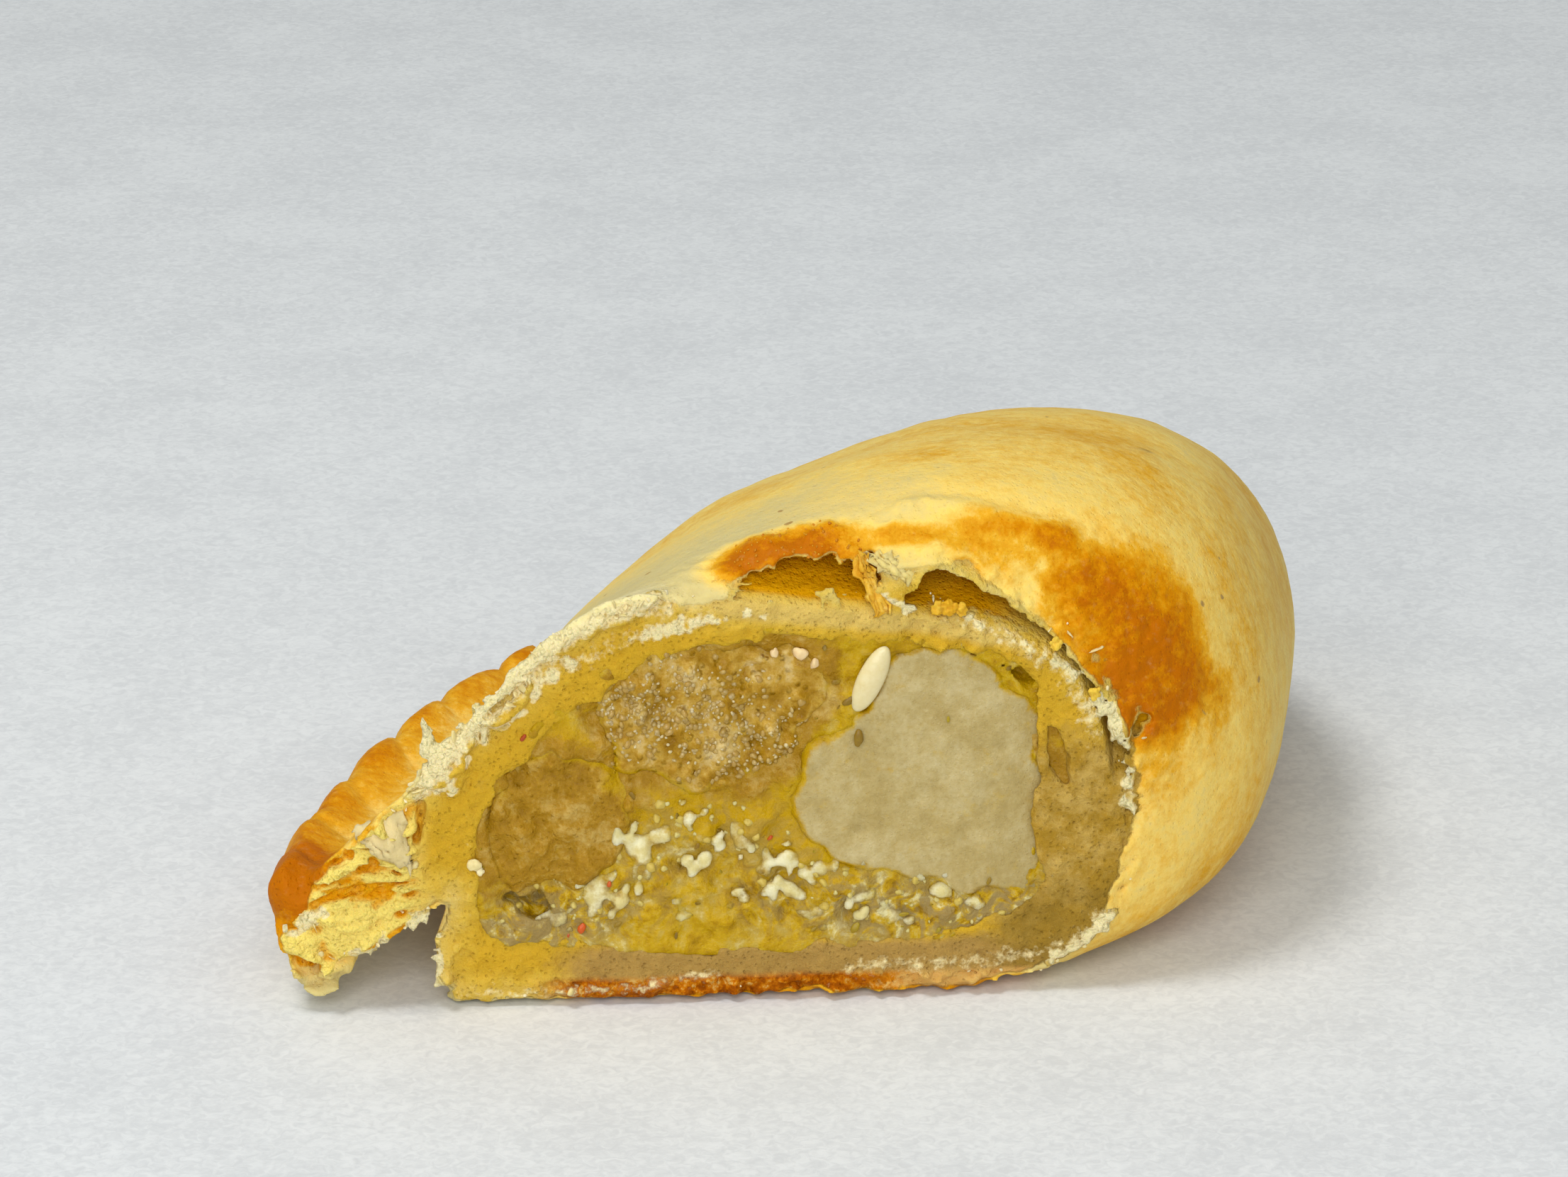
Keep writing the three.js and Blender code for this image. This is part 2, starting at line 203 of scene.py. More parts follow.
def lattice_noise(axes, cell, seed):
    """Smooth noise of about unit size on the grid of the given axes. cell is its grain in mm."""
    cells = [cell] * len(axes) if np.isscalar(cell) else cell
    counts = [int((axis[-1] - axis[0]) / size) + 3 for axis, size in zip(axes, cells)]
    noise = np.random.default_rng(seed).standard_normal(counts).astype(np.float32)
    for k, (axis, size) in enumerate(zip(axes, cells)):
        at = (axis - axis[0]) / size
        low = at.astype(int)
        share = smooth(at - low).astype(np.float32)
        share = share.reshape([-1 if i == k else 1 for i in range(len(axes))])
        noise = lerp(np.take(noise, low, axis=k), np.take(noise, low + 1, axis=k), share)
    return noise


def layered_noise(axes, cell, seed, octaves=3, fall=0.5):
    """Noise with finer and fainter layers added, each of half the grain."""
    cells = np.atleast_1d(cell).astype(float)
    total = 0
    for k in range(octaves):
        size = cells / 2 ** k
        total = total + fall ** k * lattice_noise(axes, size[0] if len(size) == 1 else size, seed + k)
    return total


def plane_noise(u, v, cells, seed):
    """The same noise at any places on a plane, with its own grain along u and along v."""
    u, v = (u - u.min()) / cells[0], (v - v.min()) / cells[1]
    table = np.random.default_rng(seed).standard_normal((int(u.max()) + 2, int(v.max()) + 2))
    i, j = u.astype(int), v.astype(int)
    across, up = smooth(u - i), smooth(v - j)
    low = lerp(table[i, j], table[i + 1, j], across)
    high = lerp(table[i, j + 1], table[i + 1, j + 1], across)
    return lerp(low, high, up).astype(np.float32)


def smooth_min(a, b, blend):
    """The lesser of two distances: both shapes, joined with a rounded corner."""
    share = np.clip(0.5 + 0.5 * (b - a) / blend, 0, 1)
    return lerp(b, a, share) - blend * share * (1 - share)


def smooth_max(a, b, blend):
    """The greater of two distances: what the shapes have in common."""
    return -smooth_min(-a, -b, blend)


# ------------------------------------------------------------------ the fan of sections

def arc_shares(points):
    """Share of the way along a chain of points at each of them."""
    lengths = np.r_[0, np.cumsum(np.linalg.norm(np.diff(points, axis=0), axis=1))]
    return lengths / lengths[-1], lengths[-1]


def open_spline(points, count):
    """A smooth line through the points, evenly sampled between each two."""
    p = np.array(points, float)
    at = np.linspace(0, len(p) - 1, count)
    i = np.minimum(at.astype(int), len(p) - 2)
    t = (at - i)[:, None]
    before, a, b, after = p[np.maximum(i - 1, 0)], p[i], p[i + 1], p[np.minimum(i + 2, len(p) - 1)]
    va, vb = (b - before) / 2, (after - a) / 2
    return (2 * a - 2 * b + va + vb) * t ** 3 + (3 * b - 3 * a - 2 * va - vb) * t ** 2 + va * t + a


def ring(outlines, count):
    """A closed smooth ring of count points through each outline, never below the table."""
    corners = outlines.shape[1]
    at = np.arange(count) * corners / count
    i = at.astype(int)
    t = (at - i)[None, :, None]
    before, a, b, after = (outlines[:, (i + step) % corners] for step in (-1, 0, 1, 2))
    va, vb = (b - before) / 2, (after - a) / 2
    points = (2 * a - 2 * b + va + vb) * t ** 3 + (3 * b - 3 * a - 2 * va - vb) * t ** 2 + va * t + a
    points[..., 1] = np.maximum(points[..., 1], 0)
    return points


def rim_at(s):
    """The rim's outer edge in plan, at shares s of the way from the cut to the tip."""
    turn = s * RIM_TURN
    y = HALF_LENGTH * np.sin(turn)
    return np.stack([RIM_START_X + AXIS_SLANT * y + RIM_BULGE * (1 - np.cos(turn)), y], -1)


FOLD_CURVE = open_spline(FOLD_LINE, 400)
FOLD_SHARES, _ = arc_shares(FOLD_CURVE)
RIM_STEPS = np.linspace(0, 1, 400)
RIM_SHARES, RIM_LENGTH = arc_shares(rim_at(RIM_STEPS))


def fold_at(s):
    """The folded side's edge in plan, at the same shares."""
    return np.stack([np.interp(s, FOLD_SHARES, FOLD_CURVE[:, k]) for k in (0, 1)], -1)


def crest_height(distance):
    """The body's greatest height at a distance back from the cut."""
    near = lerp(CUT_HEIGHT, PEAK_HEIGHT, smooth(distance / PEAK_DISTANCE))
    share = np.clip((distance - PEAK_DISTANCE) / (HALF_LENGTH - PEAK_DISTANCE), 0, 1)
    far = lerp(TIP_THICKNESS, PEAK_HEIGHT, (1 - share ** 2) ** DOME_FALL)
    return np.where(distance < PEAK_DISTANCE, near, far)


class Fan:
    """Upright section planes at shares s, each from the rim's outer edge to the fold."""

    def __init__(self, s):
        self.s = s
        self.outer = rim_at(s)
        span = fold_at(s) - self.outer
        self.width = np.linalg.norm(span, axis=1)
        self.across = span / self.width[:, None]
        self.rim_scale = np.minimum(1, self.width / (2 * RIM_WIDTH))
        self.height = crest_height(self.outer[:, 1] + span[:, 1] / 2)
        self.rim_rise = np.minimum(1, lerp(RIM_LEAST, 1, self.height / RIM_FULL_FROM))

    def height_at(self, up):
        """A share of the crest's height in millimetres, level with the rim where they meet."""
        rim_share = RIM_HEIGHT / PEAK_HEIGHT
        rim_top = (RIM_HEIGHT * self.rim_rise)[:, None]
        above = lerp(rim_top, self.height[:, None], (up - rim_share) / (1 - rim_share))
        return np.where(up < rim_share, up / rim_share * rim_top, above)

    def body(self, cut_points, back_points, pinch):
        """The body's outline as [distance from the rim's outer edge, height]."""
        cut, back = np.array(cut_points, float), np.array(back_points, float)
        cut_width = FOLD_LINE[0][0] - RIM_START_X
        cut_share = (cut[:, 0] - RIM_START_X - RIM_WIDTH) / (cut_width - RIM_WIDTH)
        share = lerp(cut_share, back[:, 0], pinch[:, None])
        up = lerp(cut[:, 1] / CUT_HEIGHT, back[:, 1], pinch[:, None])
        root = (RIM_WIDTH * self.rim_scale)[:, None]
        return np.stack([root + share * (self.width[:, None] - root), self.height_at(up)], -1)

    def rim(self):
        """The rim's outline, with the crimp's rounded lobes and the creases between them."""
        pinch = smooth(self.outer[:, 1] / PINCH_LENGTH)[:, None, None]
        length = np.interp(self.s, RIM_STEPS, RIM_SHARES) * RIM_LENGTH
        phase = np.pi * (length / LOBE_PITCH - LOBE_START)
        lobe = (2 * np.abs(np.cos(phase)) ** 0.7 - 1) * pinch[:, 0, 0]
        tuck = smooth((self.s - TUCK_START) / (1 - TUCK_START))[:, None, None]
        cut = np.array(CUT_RIM, float) - (RIM_START_X, 0)
        outline = lerp(lerp(cut, np.array(BACK_RIM, float), pinch), np.array(TIP_RIM, float), tuck)
        follow = lobe[:, None] * np.array(RIM_LOBE_SHARE)
        out = (outline[..., 0] - LOBE_REACH * follow) * self.rim_scale[:, None]
        up = (outline[..., 1] + LOBE_RISE * follow) * self.rim_rise[:, None]
        return np.stack([out, up], -1)

    def place(self, points):
        """Puts [across, height] points into space."""
        plan = self.outer[:, None] + self.across[:, None] * points[..., :1]
        return np.concatenate([plan, points[..., 1:]], -1)


def forward_copy(sections):
    """Adds a copy of the first section in front of the cut."""
    return np.concatenate([sections[:1] - (0, FRONT_MARGIN, 0), sections])


def outer_sections():
    """The pastry's outside, as rings of points from the cut to the tip."""
    s = np.linspace(0, 1, OUTER_SECTIONS)
    fan = Fan(s)
    # The skin rolls over quickly at the cut, where the knife pressed it down
    pinch = 1 - (1 - np.clip(fan.outer[:, 1] / PINCH_LENGTH, 0, 1)) ** 2
    outlines = np.concatenate([fan.body(CUT_BODY, BACK_BODY, pinch), fan.rim()], axis=1)
    sections = fan.place(ring(outlines, OUTER_RING))
    last = sections[-1]
    centre = last.mean(axis=0)
    across = fan.across[-1]
    outwards = np.array([-across[1], across[0], 0])
    turns = np.arange(1, TIP_SECTIONS + 1) / TIP_SECTIONS * TIP_TURN
    tip = [(last - centre) * math.cos(t) + centre + outwards * TIP_ROUNDING * math.sin(t) for t in turns]
    return np.concatenate([forward_copy(sections), tip])


def cavity_sections():
    """The space inside the pastry, in the same way."""
    s = np.linspace(0, CAVITY_END, CAVITY_LOFT_SECTIONS)
    fan = Fan(s)
    pinch = smooth(fan.outer[:, 1] / CAVITY_PINCH_LENGTH)
    points = ring(fan.body(CUT_CAVITY, BACK_CAVITY, pinch), CAVITY_RING)
    closing = np.maximum(0, (s - CAVITY_ROUNDING) / (CAVITY_END - CAVITY_ROUNDING)) * CAVITY_CLOSING
    centre = points.mean(axis=1, keepdims=True)
    rounded = (points - centre) * np.sqrt(1 - closing ** 2)[:, None, None] + centre
    return forward_copy(fan.place(rounded))


# ------------------------------------------------------------------ the grid of distances

AXES = [np.arange(low, high, VOXEL, dtype=np.float32) for low, high in zip(GRID_LOW, GRID_HIGH)]
FRONT_COUNT = int((FRONT_DEPTH - GRID_LOW[1]) / VOXEL)
FRONT_AXES = [AXES[0], AXES[1][:FRONT_COUNT], AXES[2]]
FRONT = (slice(None), slice(0, FRONT_COUNT), slice(None))
FACE_AXES = [AXES[0], AXES[2]]
CUT_LAYER = int(-GRID_LOW[1] / VOXEL)  # the grid's layer at the cut
FAR_OFF = 2.0  # the distance that an empty field starts from


def spread(axis, k, dimensions=3):
    """An axis shaped to combine with the grid's other axes."""
    return axis.reshape([-1 if i == k else 1 for i in range(dimensions)])


def loft_distance(sections):
    """Signed distance to the closed loft through the sections, on the grid."""
    rings, count = sections.shape[:2]
    middles = [sections[0].mean(axis=0), sections[-1].mean(axis=0)]
    points = np.concatenate([sections.reshape(-1, 3), middles])
    i, j = np.meshgrid(np.arange(rings - 1), np.arange(count), indexing="ij")
    k = (j + 1) % count
    quads = np.stack([i * count + j, i * count + k, (i + 1) * count + k, (i + 1) * count + j], -1)
    a = np.arange(count)
    b = (a + 1) % count
    back = (rings - 1) * count
    first = np.stack([b, a, np.full(count, rings * count)], -1)
    last = np.stack([a + back, b + back, np.full(count, rings * count + 1)], -1)
    grid = vdb.FloatGrid.createLevelSetFromPolygons(
        ((points - GRID_LOW) / VOXEL).astype(np.float32),
        triangles=np.concatenate([first, last]).astype(np.uint32),
        quads=quads.reshape(-1, 4).astype(np.uint32),
        transform=vdb.createLinearTransform(voxelSize=1.0),
        exBandWidth=BAND_VOXELS,
        inBandWidth=BAND_VOXELS,
    )
    distance = np.empty([len(axis) for axis in AXES], np.float32)
    grid.copyToArray(distance)
    return distance * VOXEL


def outline_distance(outline, count=90):
    """Signed distance to a smooth outline on the cut's face, over its x and z axes."""
    points = ring(np.array([outline], float), count)[0]
    x, z = np.meshgrid(*FACE_AXES, indexing="ij")
    nearest = np.full(x.shape, np.inf)
    inside = np.zeros(x.shape, bool)
    for a, b in zip(points, np.roll(points, -1, axis=0)):
        span = b - a
        share = np.clip(((x - a[0]) * span[0] + (z - a[1]) * span[1]) / (span @ span), 0, 1)
        nearest = np.minimum(nearest, np.hypot(x - a[0] - share * span[0], z - a[1] - share * span[1]))
        crossed = (a[1] > z) != (b[1] > z)
        inside ^= crossed & (x < a[0] + (z - a[1]) * span[0] / (span[1] or 1e-9))
    return np.where(inside, -nearest, nearest).astype(np.float32)


def line_distance(points):
    """Distance on the cut's face to a chain of [x, z, half width] points, less its half width."""
    x, z = np.meshgrid(*FACE_AXES, indexing="ij")
    nearest = np.full(x.shape, np.inf)
    for (ax, az, ar), (bx, bz, br) in zip(points, points[1:]):
        span = np.array([bx - ax, bz - az])
        share = np.clip(((x - ax) * span[0] + (z - az) * span[1]) / (span @ span), 0, 1)
        away = np.hypot(x - ax - share * span[0], z - az - share * span[1])
        nearest = np.minimum(nearest, away - lerp(ar, br, share))
    return nearest.astype(np.float32)


def at_points(field, points, axes=AXES):
    """The field's value at points in the work frame, mixed from the grid's eight neighbours."""
    low = np.array([axis[0] for axis in axes])
    at = np.clip((points - low) / VOXEL, 0, np.array(field.shape) - 1.001)
    i = at.astype(int)
    t = at - i
    value = 0
    for corner in np.ndindex(*[2] * len(axes)):
        share = np.prod(np.where(corner, t, 1 - t), axis=1)
        value = value + share * field[tuple((i + corner).T)]
    return value


def block_round(middle, reach):
    """The part of the front grid within reach of a point, and its offsets from that point."""
    low, high = (((middle + side - GRID_LOW) / VOXEL).astype(int) for side in (-reach, reach))
    block = tuple(slice(max(a, 0), max(b, 0)) for a, b in zip(low, high))
    axes = [axis[part] for axis, part in zip(FRONT_AXES, block)]
    return block, [spread(axis, k) - middle[k] for k, axis in enumerate(axes)]


def add_thread(field, a, b, radius, blend):
    """Joins a round-ended thread from a to b to a field over the front of the grid."""
    block, (dx, dy, dz) = block_round((a + b) / 2, np.linalg.norm(b - a) / 2 + radius + 0.8)
    half = (b - a) / 2
    share = np.clip((dx * half[0] + dy * half[1] + dz * half[2]) / (half @ half), -1, 1)
    across, back, up = dx - share * half[0], dy - share * half[1], dz - share * half[2]
    away = np.sqrt(across ** 2 + back ** 2 + up ** 2)
    field[block] = smooth_min(field[block], away - radius * (1 - 0.3 * np.abs(share)), blend)


# ------------------------------------------------------------------ the pastry's shape

# Chains are [x, z, half width] along an opening in the cut face
CLEFT = [(45.2, 21.0, 0.3), (45.7, 18.8, 0.7), (46.3, 16.8, 0.3)]  # beside the pale potato
# Openings between the dough's layers: a chain, then how deep it goes
CREVICES = [
    ([(-7.2, 11.1, 0.3), (-5.4, 11.5, 0.6), (-3.8, 10.9, 0.3)], 1.0),
    ([(-8.6, 13.2, 0.3), (-7.6, 12.5, 0.4)], 0.7),
    ([(-7.4, 8.7, 0.1), (-5.2, 9.0, 0.3)], 0.7),
    ([(-1.9, 16.4, 0.15), (-2.1, 14.9, 0.35), (-2.4, 13.4, 0.2)], 1.3),
    ([(-11.3, 3.7, 0.5), (-10.2, 3.0, 0.8)], 1.5),
    ([(3.2, 23.4, 0.2), (4.6, 24.8, 0.4), (6.0, 25.8, 0.2)], 0.6),
    (CLEFT, 2.6),
    ([(50.9, 17.5, 0.12), (51.0, 14.5, 0.25), (50.8, 11.6, 0.15)], 0.9),
]
DROOP = (-9.7, 2.4, 3.3)  # the middle of the crimp's loose lower end
DROOP_RADIUS = 2.3
DROOP_HALF_LENGTH = 2.2
FLAKE_BAND = 1.6  # how deep the flakes reach into the upper slope's dough
CRIMP_ROLL = 3.3  # how far in from its edge the crimp's skin rolls round at the cut
BASE_CRUST = 1.8  # thickness of the toasted layer at the bottom
LIP_DROP = 2.8  # how far the crest over the blister bends down towards the cut
LIP_REACH = 5.5  # how far back it starts to

# Loose threads of crumb at the cut: the line they start near as [x, z] ends, how many there are,
# their length, the way they hang in degrees, how far they stray from it and their radius
TUFTS = [
    ((-1.5, 23.2), (-1.4, 21.2), 18, 0.7, -80, 50, 0.30),
    ((-1.9, 21.6), (0.4, 18.2), 60, 1.0, -62, 40, 0.32),
    ((-0.8, 21.4), (1.2, 19.8), 26, 0.8, -62, 40, 0.28),
    ((-2.2, 19.2), (0.6, 17.8), 24, 0.8, -58, 50, 0.26),
    ((0.2, 21.4), (7.2, 28.4), 44, 0.6, -125, 60, 0.26),
    ((7.5, 28.7), (16.0, 33.2), 34, 0.5, -115, 60, 0.24),
    ((6.2, 25.2), (9.2, 28.0), 26, 0.6, -60, 60, 0.26),
    ((2.6, 21.6), (6.0, 24.6), 16, 0.5, -60, 60, 0.22),
    ((14.6, 29.5), (18.6, 30.7), 26, 0.6, -70, 60, 0.24),
    ((18.6, 30.8), (23.4, 31.0), 12, 0.4, -80, 60, 0.22),
    ((-7.5, 4.6), (-1.6, 7.4), 30, 0.7, -110, 50, 0.26),
    ((-8.6, 8.4), (-12.2, 6.6), 22, 0.6, -100, 60, 0.26),
    ((-0.7, 5.6), (-0.7, 1.4), 16, 0.4, 200, 60, 0.30),
    ((0.2, 0.9), (6.5, 0.8), 18, 0.4, -30, 60, 0.30),
    ((45.0, 2.2), (50.4, 6.0), 30, 0.5, -50, 60, 0.32),
    ((48.4, 24.2), (50.4, 20.5), 24, 0.6, -100, 60, 0.42),
    ((50.6, 20.5), (51.2, 14.5), 18, 0.4, -80, 50, 0.30),
    ((36.0, 32.0), (48.4, 24.8), 28, 0.4, -70, 50, 0.24),
    ((32.2, 32.0), (34.6, 31.0), 10, 0.5, -40, 60, 0.26),
]


def slope_mask(x, z):
    """1 along the upper left slope of the cut, where the skin flakes."""
    return ramp(x, -4, -1.5) * ramp(x, 19, 15) * ramp(z, 15, 17)


def crimp_roll(x, z, edge):
    """How far the crimp's browned skin lies back where it rolls round to the cut."""
    on_roll = ramp(x, -9.3, -11.0) * ramp(z, 5.6, 7.0)
    share = np.clip(1 + edge / CRIMP_ROLL, 0, 0.98)
    return on_roll * CRIMP_ROLL * (1 - np.sqrt(1 - share ** 2)), on_roll


def cut_relief(edge):
    """How far the dough's cut face lies back, over x and z. edge is the distance to the skin,
    negative inside."""
    x, z = np.meshgrid(*FACE_AXES, indexing="ij")
    slope = slope_mask(x, z)
    crimp = ramp(x, -1.4, -3.2)
    relief = 0.1 * layered_noise(FACE_AXES, 2.4, 11) + 0.1 * lattice_noise(FACE_AXES, 0.5, 14)
    # The upper slope's fibres run along it, and its crumb hangs ragged over the dough below
    up_slope, off_slope = 0.77 * x + 0.64 * z, 0.77 * z - 0.64 * x
    fibres = plane_noise(up_slope, off_slope, (1.5, 0.4), 21)
    fibres = fibres + 0.8 * plane_noise(up_slope, off_slope, (0.6, 0.5), 22)
    ragged = 0.6 * plane_noise(up_slope, off_slope, (1.6, 1.3), 23)
    band = ramp(edge + ragged, -FLAKE_BAND - 0.3, -FLAKE_BAND + 0.3)
    relief += slope * band * (0.16 * fibres * ramp(edge, -0.4, -1.2) - 0.3)
    relief += slope * bump(edge + ragged, -FLAKE_BAND - 0.5, 0.6) * 0.3
    # The crimp's layers run down to its loose end
    along_layer, over_layer = x + 0.2 * z, z - 0.22 * x + 0.7 * plane_noise(x, z, (3.0, 2.5), 30)
    layers = plane_noise(along_layer, over_layer, (2.4, 0.5), 31)
    splinters = plane_noise(along_layer, over_layer, (0.9, 0.32), 35)
    relief += crimp * (0.4 * layers + 0.28 * splinters)
    crumbled = plane_noise(x, z, (0.8, 0.8), 41)
    relief += (0.35 + 0.3 * crumbled) * ramp(edge, -0.6, 0.1)
    torn = ramp(x, 33, 36) * ramp(z, 18, 20) * ramp(edge, -1.4, -0.2)
    relief += torn * (0.1 + 0.3 * plane_noise(x, z, (1.3, 1.3), 43))
    corner = ramp(x, 1.8, 0.4) * ramp(x, -1.8, -1.0) * ramp(z, 9, 7)
    relief += corner * (0.3 * crumbled + 0.15)
    upper_right = ramp(x, 32, 36) * ramp(z, 25, 27) * ramp(edge, -1.0, -2.0)
    relief += upper_right * 0.25 * plane_noise(x, z, (0.7, 0.7), 47)
    base = ramp(z, BASE_CRUST + 0.3, BASE_CRUST - 0.1) * ramp(x, 3, 8) * ramp(x, 50, 44)
    relief += base * (0.3 * plane_noise(x, z, (0.9, 0.5), 45) - 0.2) + 0.6 * ramp(z, 0.35, 0.0)
    crest = ramp(x, 18.0, 20.0) * ramp(x, 33.5, 31.5) * ramp(z, 32.6, 33.4)
    relief += crest * (1.5 + 0.3 * crumbled)
    roll, on_roll = crimp_roll(x, z, edge)
    return lerp(relief, roll + 0.1 * layers, on_roll)


def tuft_field():
    """Distance to the loose threads of crumb, over the front of the grid."""
    field = np.full([len(axis) for axis in FRONT_AXES], FAR_OFF, np.float32)
    draw = np.random.default_rng(401)
    for start, end, count, length, hang, stray, thickest in TUFTS:
        for _ in range(count):
            x, z = lerp(np.array(start), np.array(end), draw.uniform()) + draw.normal(0, 0.2, 2)
            lean = math.radians(hang + draw.uniform(-stray, stray))
            reach = length * draw.uniform(0.5, 1.0)
            a = np.array([x, draw.uniform(0.0, 0.5), z])
            b = a + (reach * math.cos(lean), draw.uniform(-0.3, 0.2) * reach, reach * math.sin(lean))
            add_thread(field, a, b, thickest * draw.uniform(0.55, 1.0), 0.15)
    return field + 0.09 * lattice_noise(FRONT_AXES, 0.7, 403)


def lip_roll(x, y):
    """How far the browned crest over the blister bends down towards the cut."""
    return LIP_DROP * ramp(x, 13, 20) * ramp(x, 37, 31) * np.clip(1 - y / LIP_REACH, 0, 1) ** 2


def bowl(y, depth):
    """Closes a hollow in the cut face towards its depth."""
    return 0.5 * (np.maximum(y, 0) / depth) ** 2


def blister_field(skin):
    """The space between the blistered skin and the dough under it. skin is the distance to its
    outside."""
    x, y, z = (spread(axis, k) for k, axis in enumerate(FRONT_AXES))
    depth = np.maximum(along(BLISTER_DEPTH, x), 0.1)
    floor = along(LEDGE, x) + 0.15 * lattice_noise(FRONT_AXES[:2], 2.5, 51)[:, :, None]
    back = np.maximum(y, 0) / depth
    floor = floor + 2.4 * back ** 1.6 - 0.7 * ramp(y, 0.9, -0.2)
    torn = 0.14 * layered_noise(FRONT_AXES, 1.4, 53)
    curtain = ramp(x, 31.5, 32.8) * ramp(x, 36.0, 34.5) * ramp(y, 1.3, 0.7)
    roof = skin + SKIN_THICKNESS + torn * ramp(y, 2, 0) + 1.6 * curtain
    return np.maximum(smooth_max(roof, floor - z, 0.7), y - depth)


def rim_map():
    """For each x and y on the grid: how far it is from the rim's outer edge, and its place along
    that edge."""
    x, y = np.meshgrid(AXES[0], AXES[1], indexing="ij")
    away, share = np.full(x.shape, np.inf), np.zeros(x.shape)
    for corner, at in zip(rim_at(RIM_STEPS), RIM_SHARES):
        near = np.hypot(x - corner[0], y - corner[1])
        share = np.where(near < away, at, share)
        away = np.minimum(away, near)
    return away.astype(np.float32), (share * RIM_LENGTH).astype(np.float32)


RIM_AWAY, RIM_PLACE = rim_map()

# The crimp's folds: 0 in a crease, 1 on the middle of a fold
ROPE_TURN = RIM_PLACE / LOBE_PITCH + ROPE_SLANT * RIM_AWAY + 0.25 * lattice_noise(AXES[:2], 9, 65)
ROPE_CREASE = np.abs(np.sin(np.pi * ROPE_TURN))


def rope_relief():
    """The crimp's slanting creases between its folds, sunk into the rim's upper side."""
    sunk = 0.3 * smooth(1 - ROPE_CREASE / 0.5) - 0.12 * ROPE_CREASE
    sunk = sunk * ramp(RIM_AWAY, 12.5, 8.5) * ramp(RIM_AWAY, -0.5, 1.5)
    sunk = sunk * ramp(AXES[1], 1.5, 6.0)[None, :]
    return sunk[:, :, None] * ramp(AXES[2], 3.0, 6.5)[None, None, :]


def skin_relief(axes):
    """How far the skin is sunk, everywhere on the grid: soft unevenness and faint wrinkles."""
    behind = ramp(axes[1], 10, 26)[None, :, None]
    swells = lerp(0.13, 0.29, behind) * lattice_noise(axes, 9, 61)
    return swells + lerp(0.03, 0.06, behind) * lattice_noise(axes, 2.6, 62)


def lip_relief():
    """The rougher skin near the cut: a granular crest, a fold line and the torn edge."""
    x, y, z = (spread(axis, k) for k, axis in enumerate(FRONT_AXES))
    granular = ramp(x, 15.5, 18) * ramp(x, 39, 33) * ramp(y, 6.5, 3.5) * ramp(z, 32, 33)
    grains = 0.13 * lattice_noise(FRONT_AXES, 0.6, 71) + 0.12 * lattice_noise(FRONT_AXES, 1.6, 72)
    relief = granular * grains
    fold_y = 4.0 + 0.5 * np.sin(x / 4) + 0.04 * np.maximum(44 - x, 0)
    fold = bump(y, fold_y, 1.7) * ramp(x, 32, 37) * ramp(x, 49.5, 46) * ramp(z, 24, 29)
    sag = bump(y, fold_y - 2.2, 2.0) * ramp(x, 33, 36) * ramp(x, 47, 43) * ramp(z, 24, 28)
    relief += 0.3 * sag - 0.45 * fold
    grainy = ramp(x, 32, 36) * ramp(y, 7, 3) * ramp(z, 12, 18)
    relief += grainy * 0.07 * lattice_noise(FRONT_AXES, 0.6, 73)
    edge = ramp(y, 2.2, 0.2)
    relief += edge * 0.12 * layered_noise(FRONT_AXES, 1.5, 74)
    base = ramp(z, 2.0, 0.6) * ramp(y, 4, 1)
    relief += base * 0.25 * layered_noise(FRONT_AXES, 1.6, 77)
    return relief + lip_roll(x, y) * ramp(z, 28, 32)


def crust_field(outer, cavity, threads):
    """The pastry: a shell, open at the cut, with a blister under its top skin. Gives its field,
    and the distance to its uncut skin."""
    x, y, z = spread(AXES[0], 0), spread(AXES[1], 1), spread(AXES[2], 2)
    skin = outer + skin_relief(AXES) + rope_relief()
    skin[FRONT] += lip_relief()
    upper_left = ramp(x, 3, 6) * ramp(x, 29, 23) * ramp(z, 16, 20)
    right_wall = ramp(x, 41, 44) * ramp(z, 8, 12) * ramp(z, 26, 23)
    uneven = 0.3 * layered_noise(FACE_AXES, 1.8, 79)[:, None, :]
    uneven = uneven + 0.8 * upper_left + 0.9 * right_wall
    field = smooth_max(skin, -(cavity + uneven * ramp(y, 5, 1)), 0.2)
    front = field[FRONT]
    front_y = spread(FRONT_AXES[1], 1)
    droop_x, droop_y, droop_z = DROOP
    past_end = np.maximum(np.abs(front_y - droop_y) - DROOP_HALF_LENGTH, 0)
    droop = np.sqrt((x - droop_x) ** 2 + past_end ** 2 + ((z - droop_z) * 1.05) ** 2) - DROOP_RADIUS
    droop = droop + 0.2 * layered_noise(FRONT_AXES, 1.7, 81)
    front[...] = smooth_min(front, droop, 0.6)
    front[...] = smooth_max(front, -blister_field(skin[FRONT]), 0.25)
    ragged = 0.25 * layered_noise(FRONT_AXES, 1.2, 85)
    for chain, depth in CREVICES:
        opening = line_distance(chain)[:, None, :] + ragged + bowl(front_y, depth)
        front[...] = smooth_max(front, -opening, 0.2)
    front[...] = smooth_max(front, cut_relief(outer[:, CUT_LAYER, :])[:, None, :] - front_y, 0.15)
    front[...] = smooth_min(front, threads, 0.15)
    return np.maximum(field, 0.04 - z), skin


# ------------------------------------------------------------------ the filling's shape

# Hollows in the filling: a chain of [x, z, half width], then how deep it goes
HOLES = [
    ([(4.7, 8.3, 0.7), (6.3, 7.9, 1.0)], 2.2),
    ([(9.6, 10.6, 0.3), (11.6, 11.9, 0.35)], 1.4),
    ([(41.0, 26.6, 0.4), (43.0, 25.2, 0.7), (44.2, 23.4, 0.4)], 1.4),
    ([(14.8, 27.8, 0.3), (18.8, 28.4, 0.35)], 1.2),
]
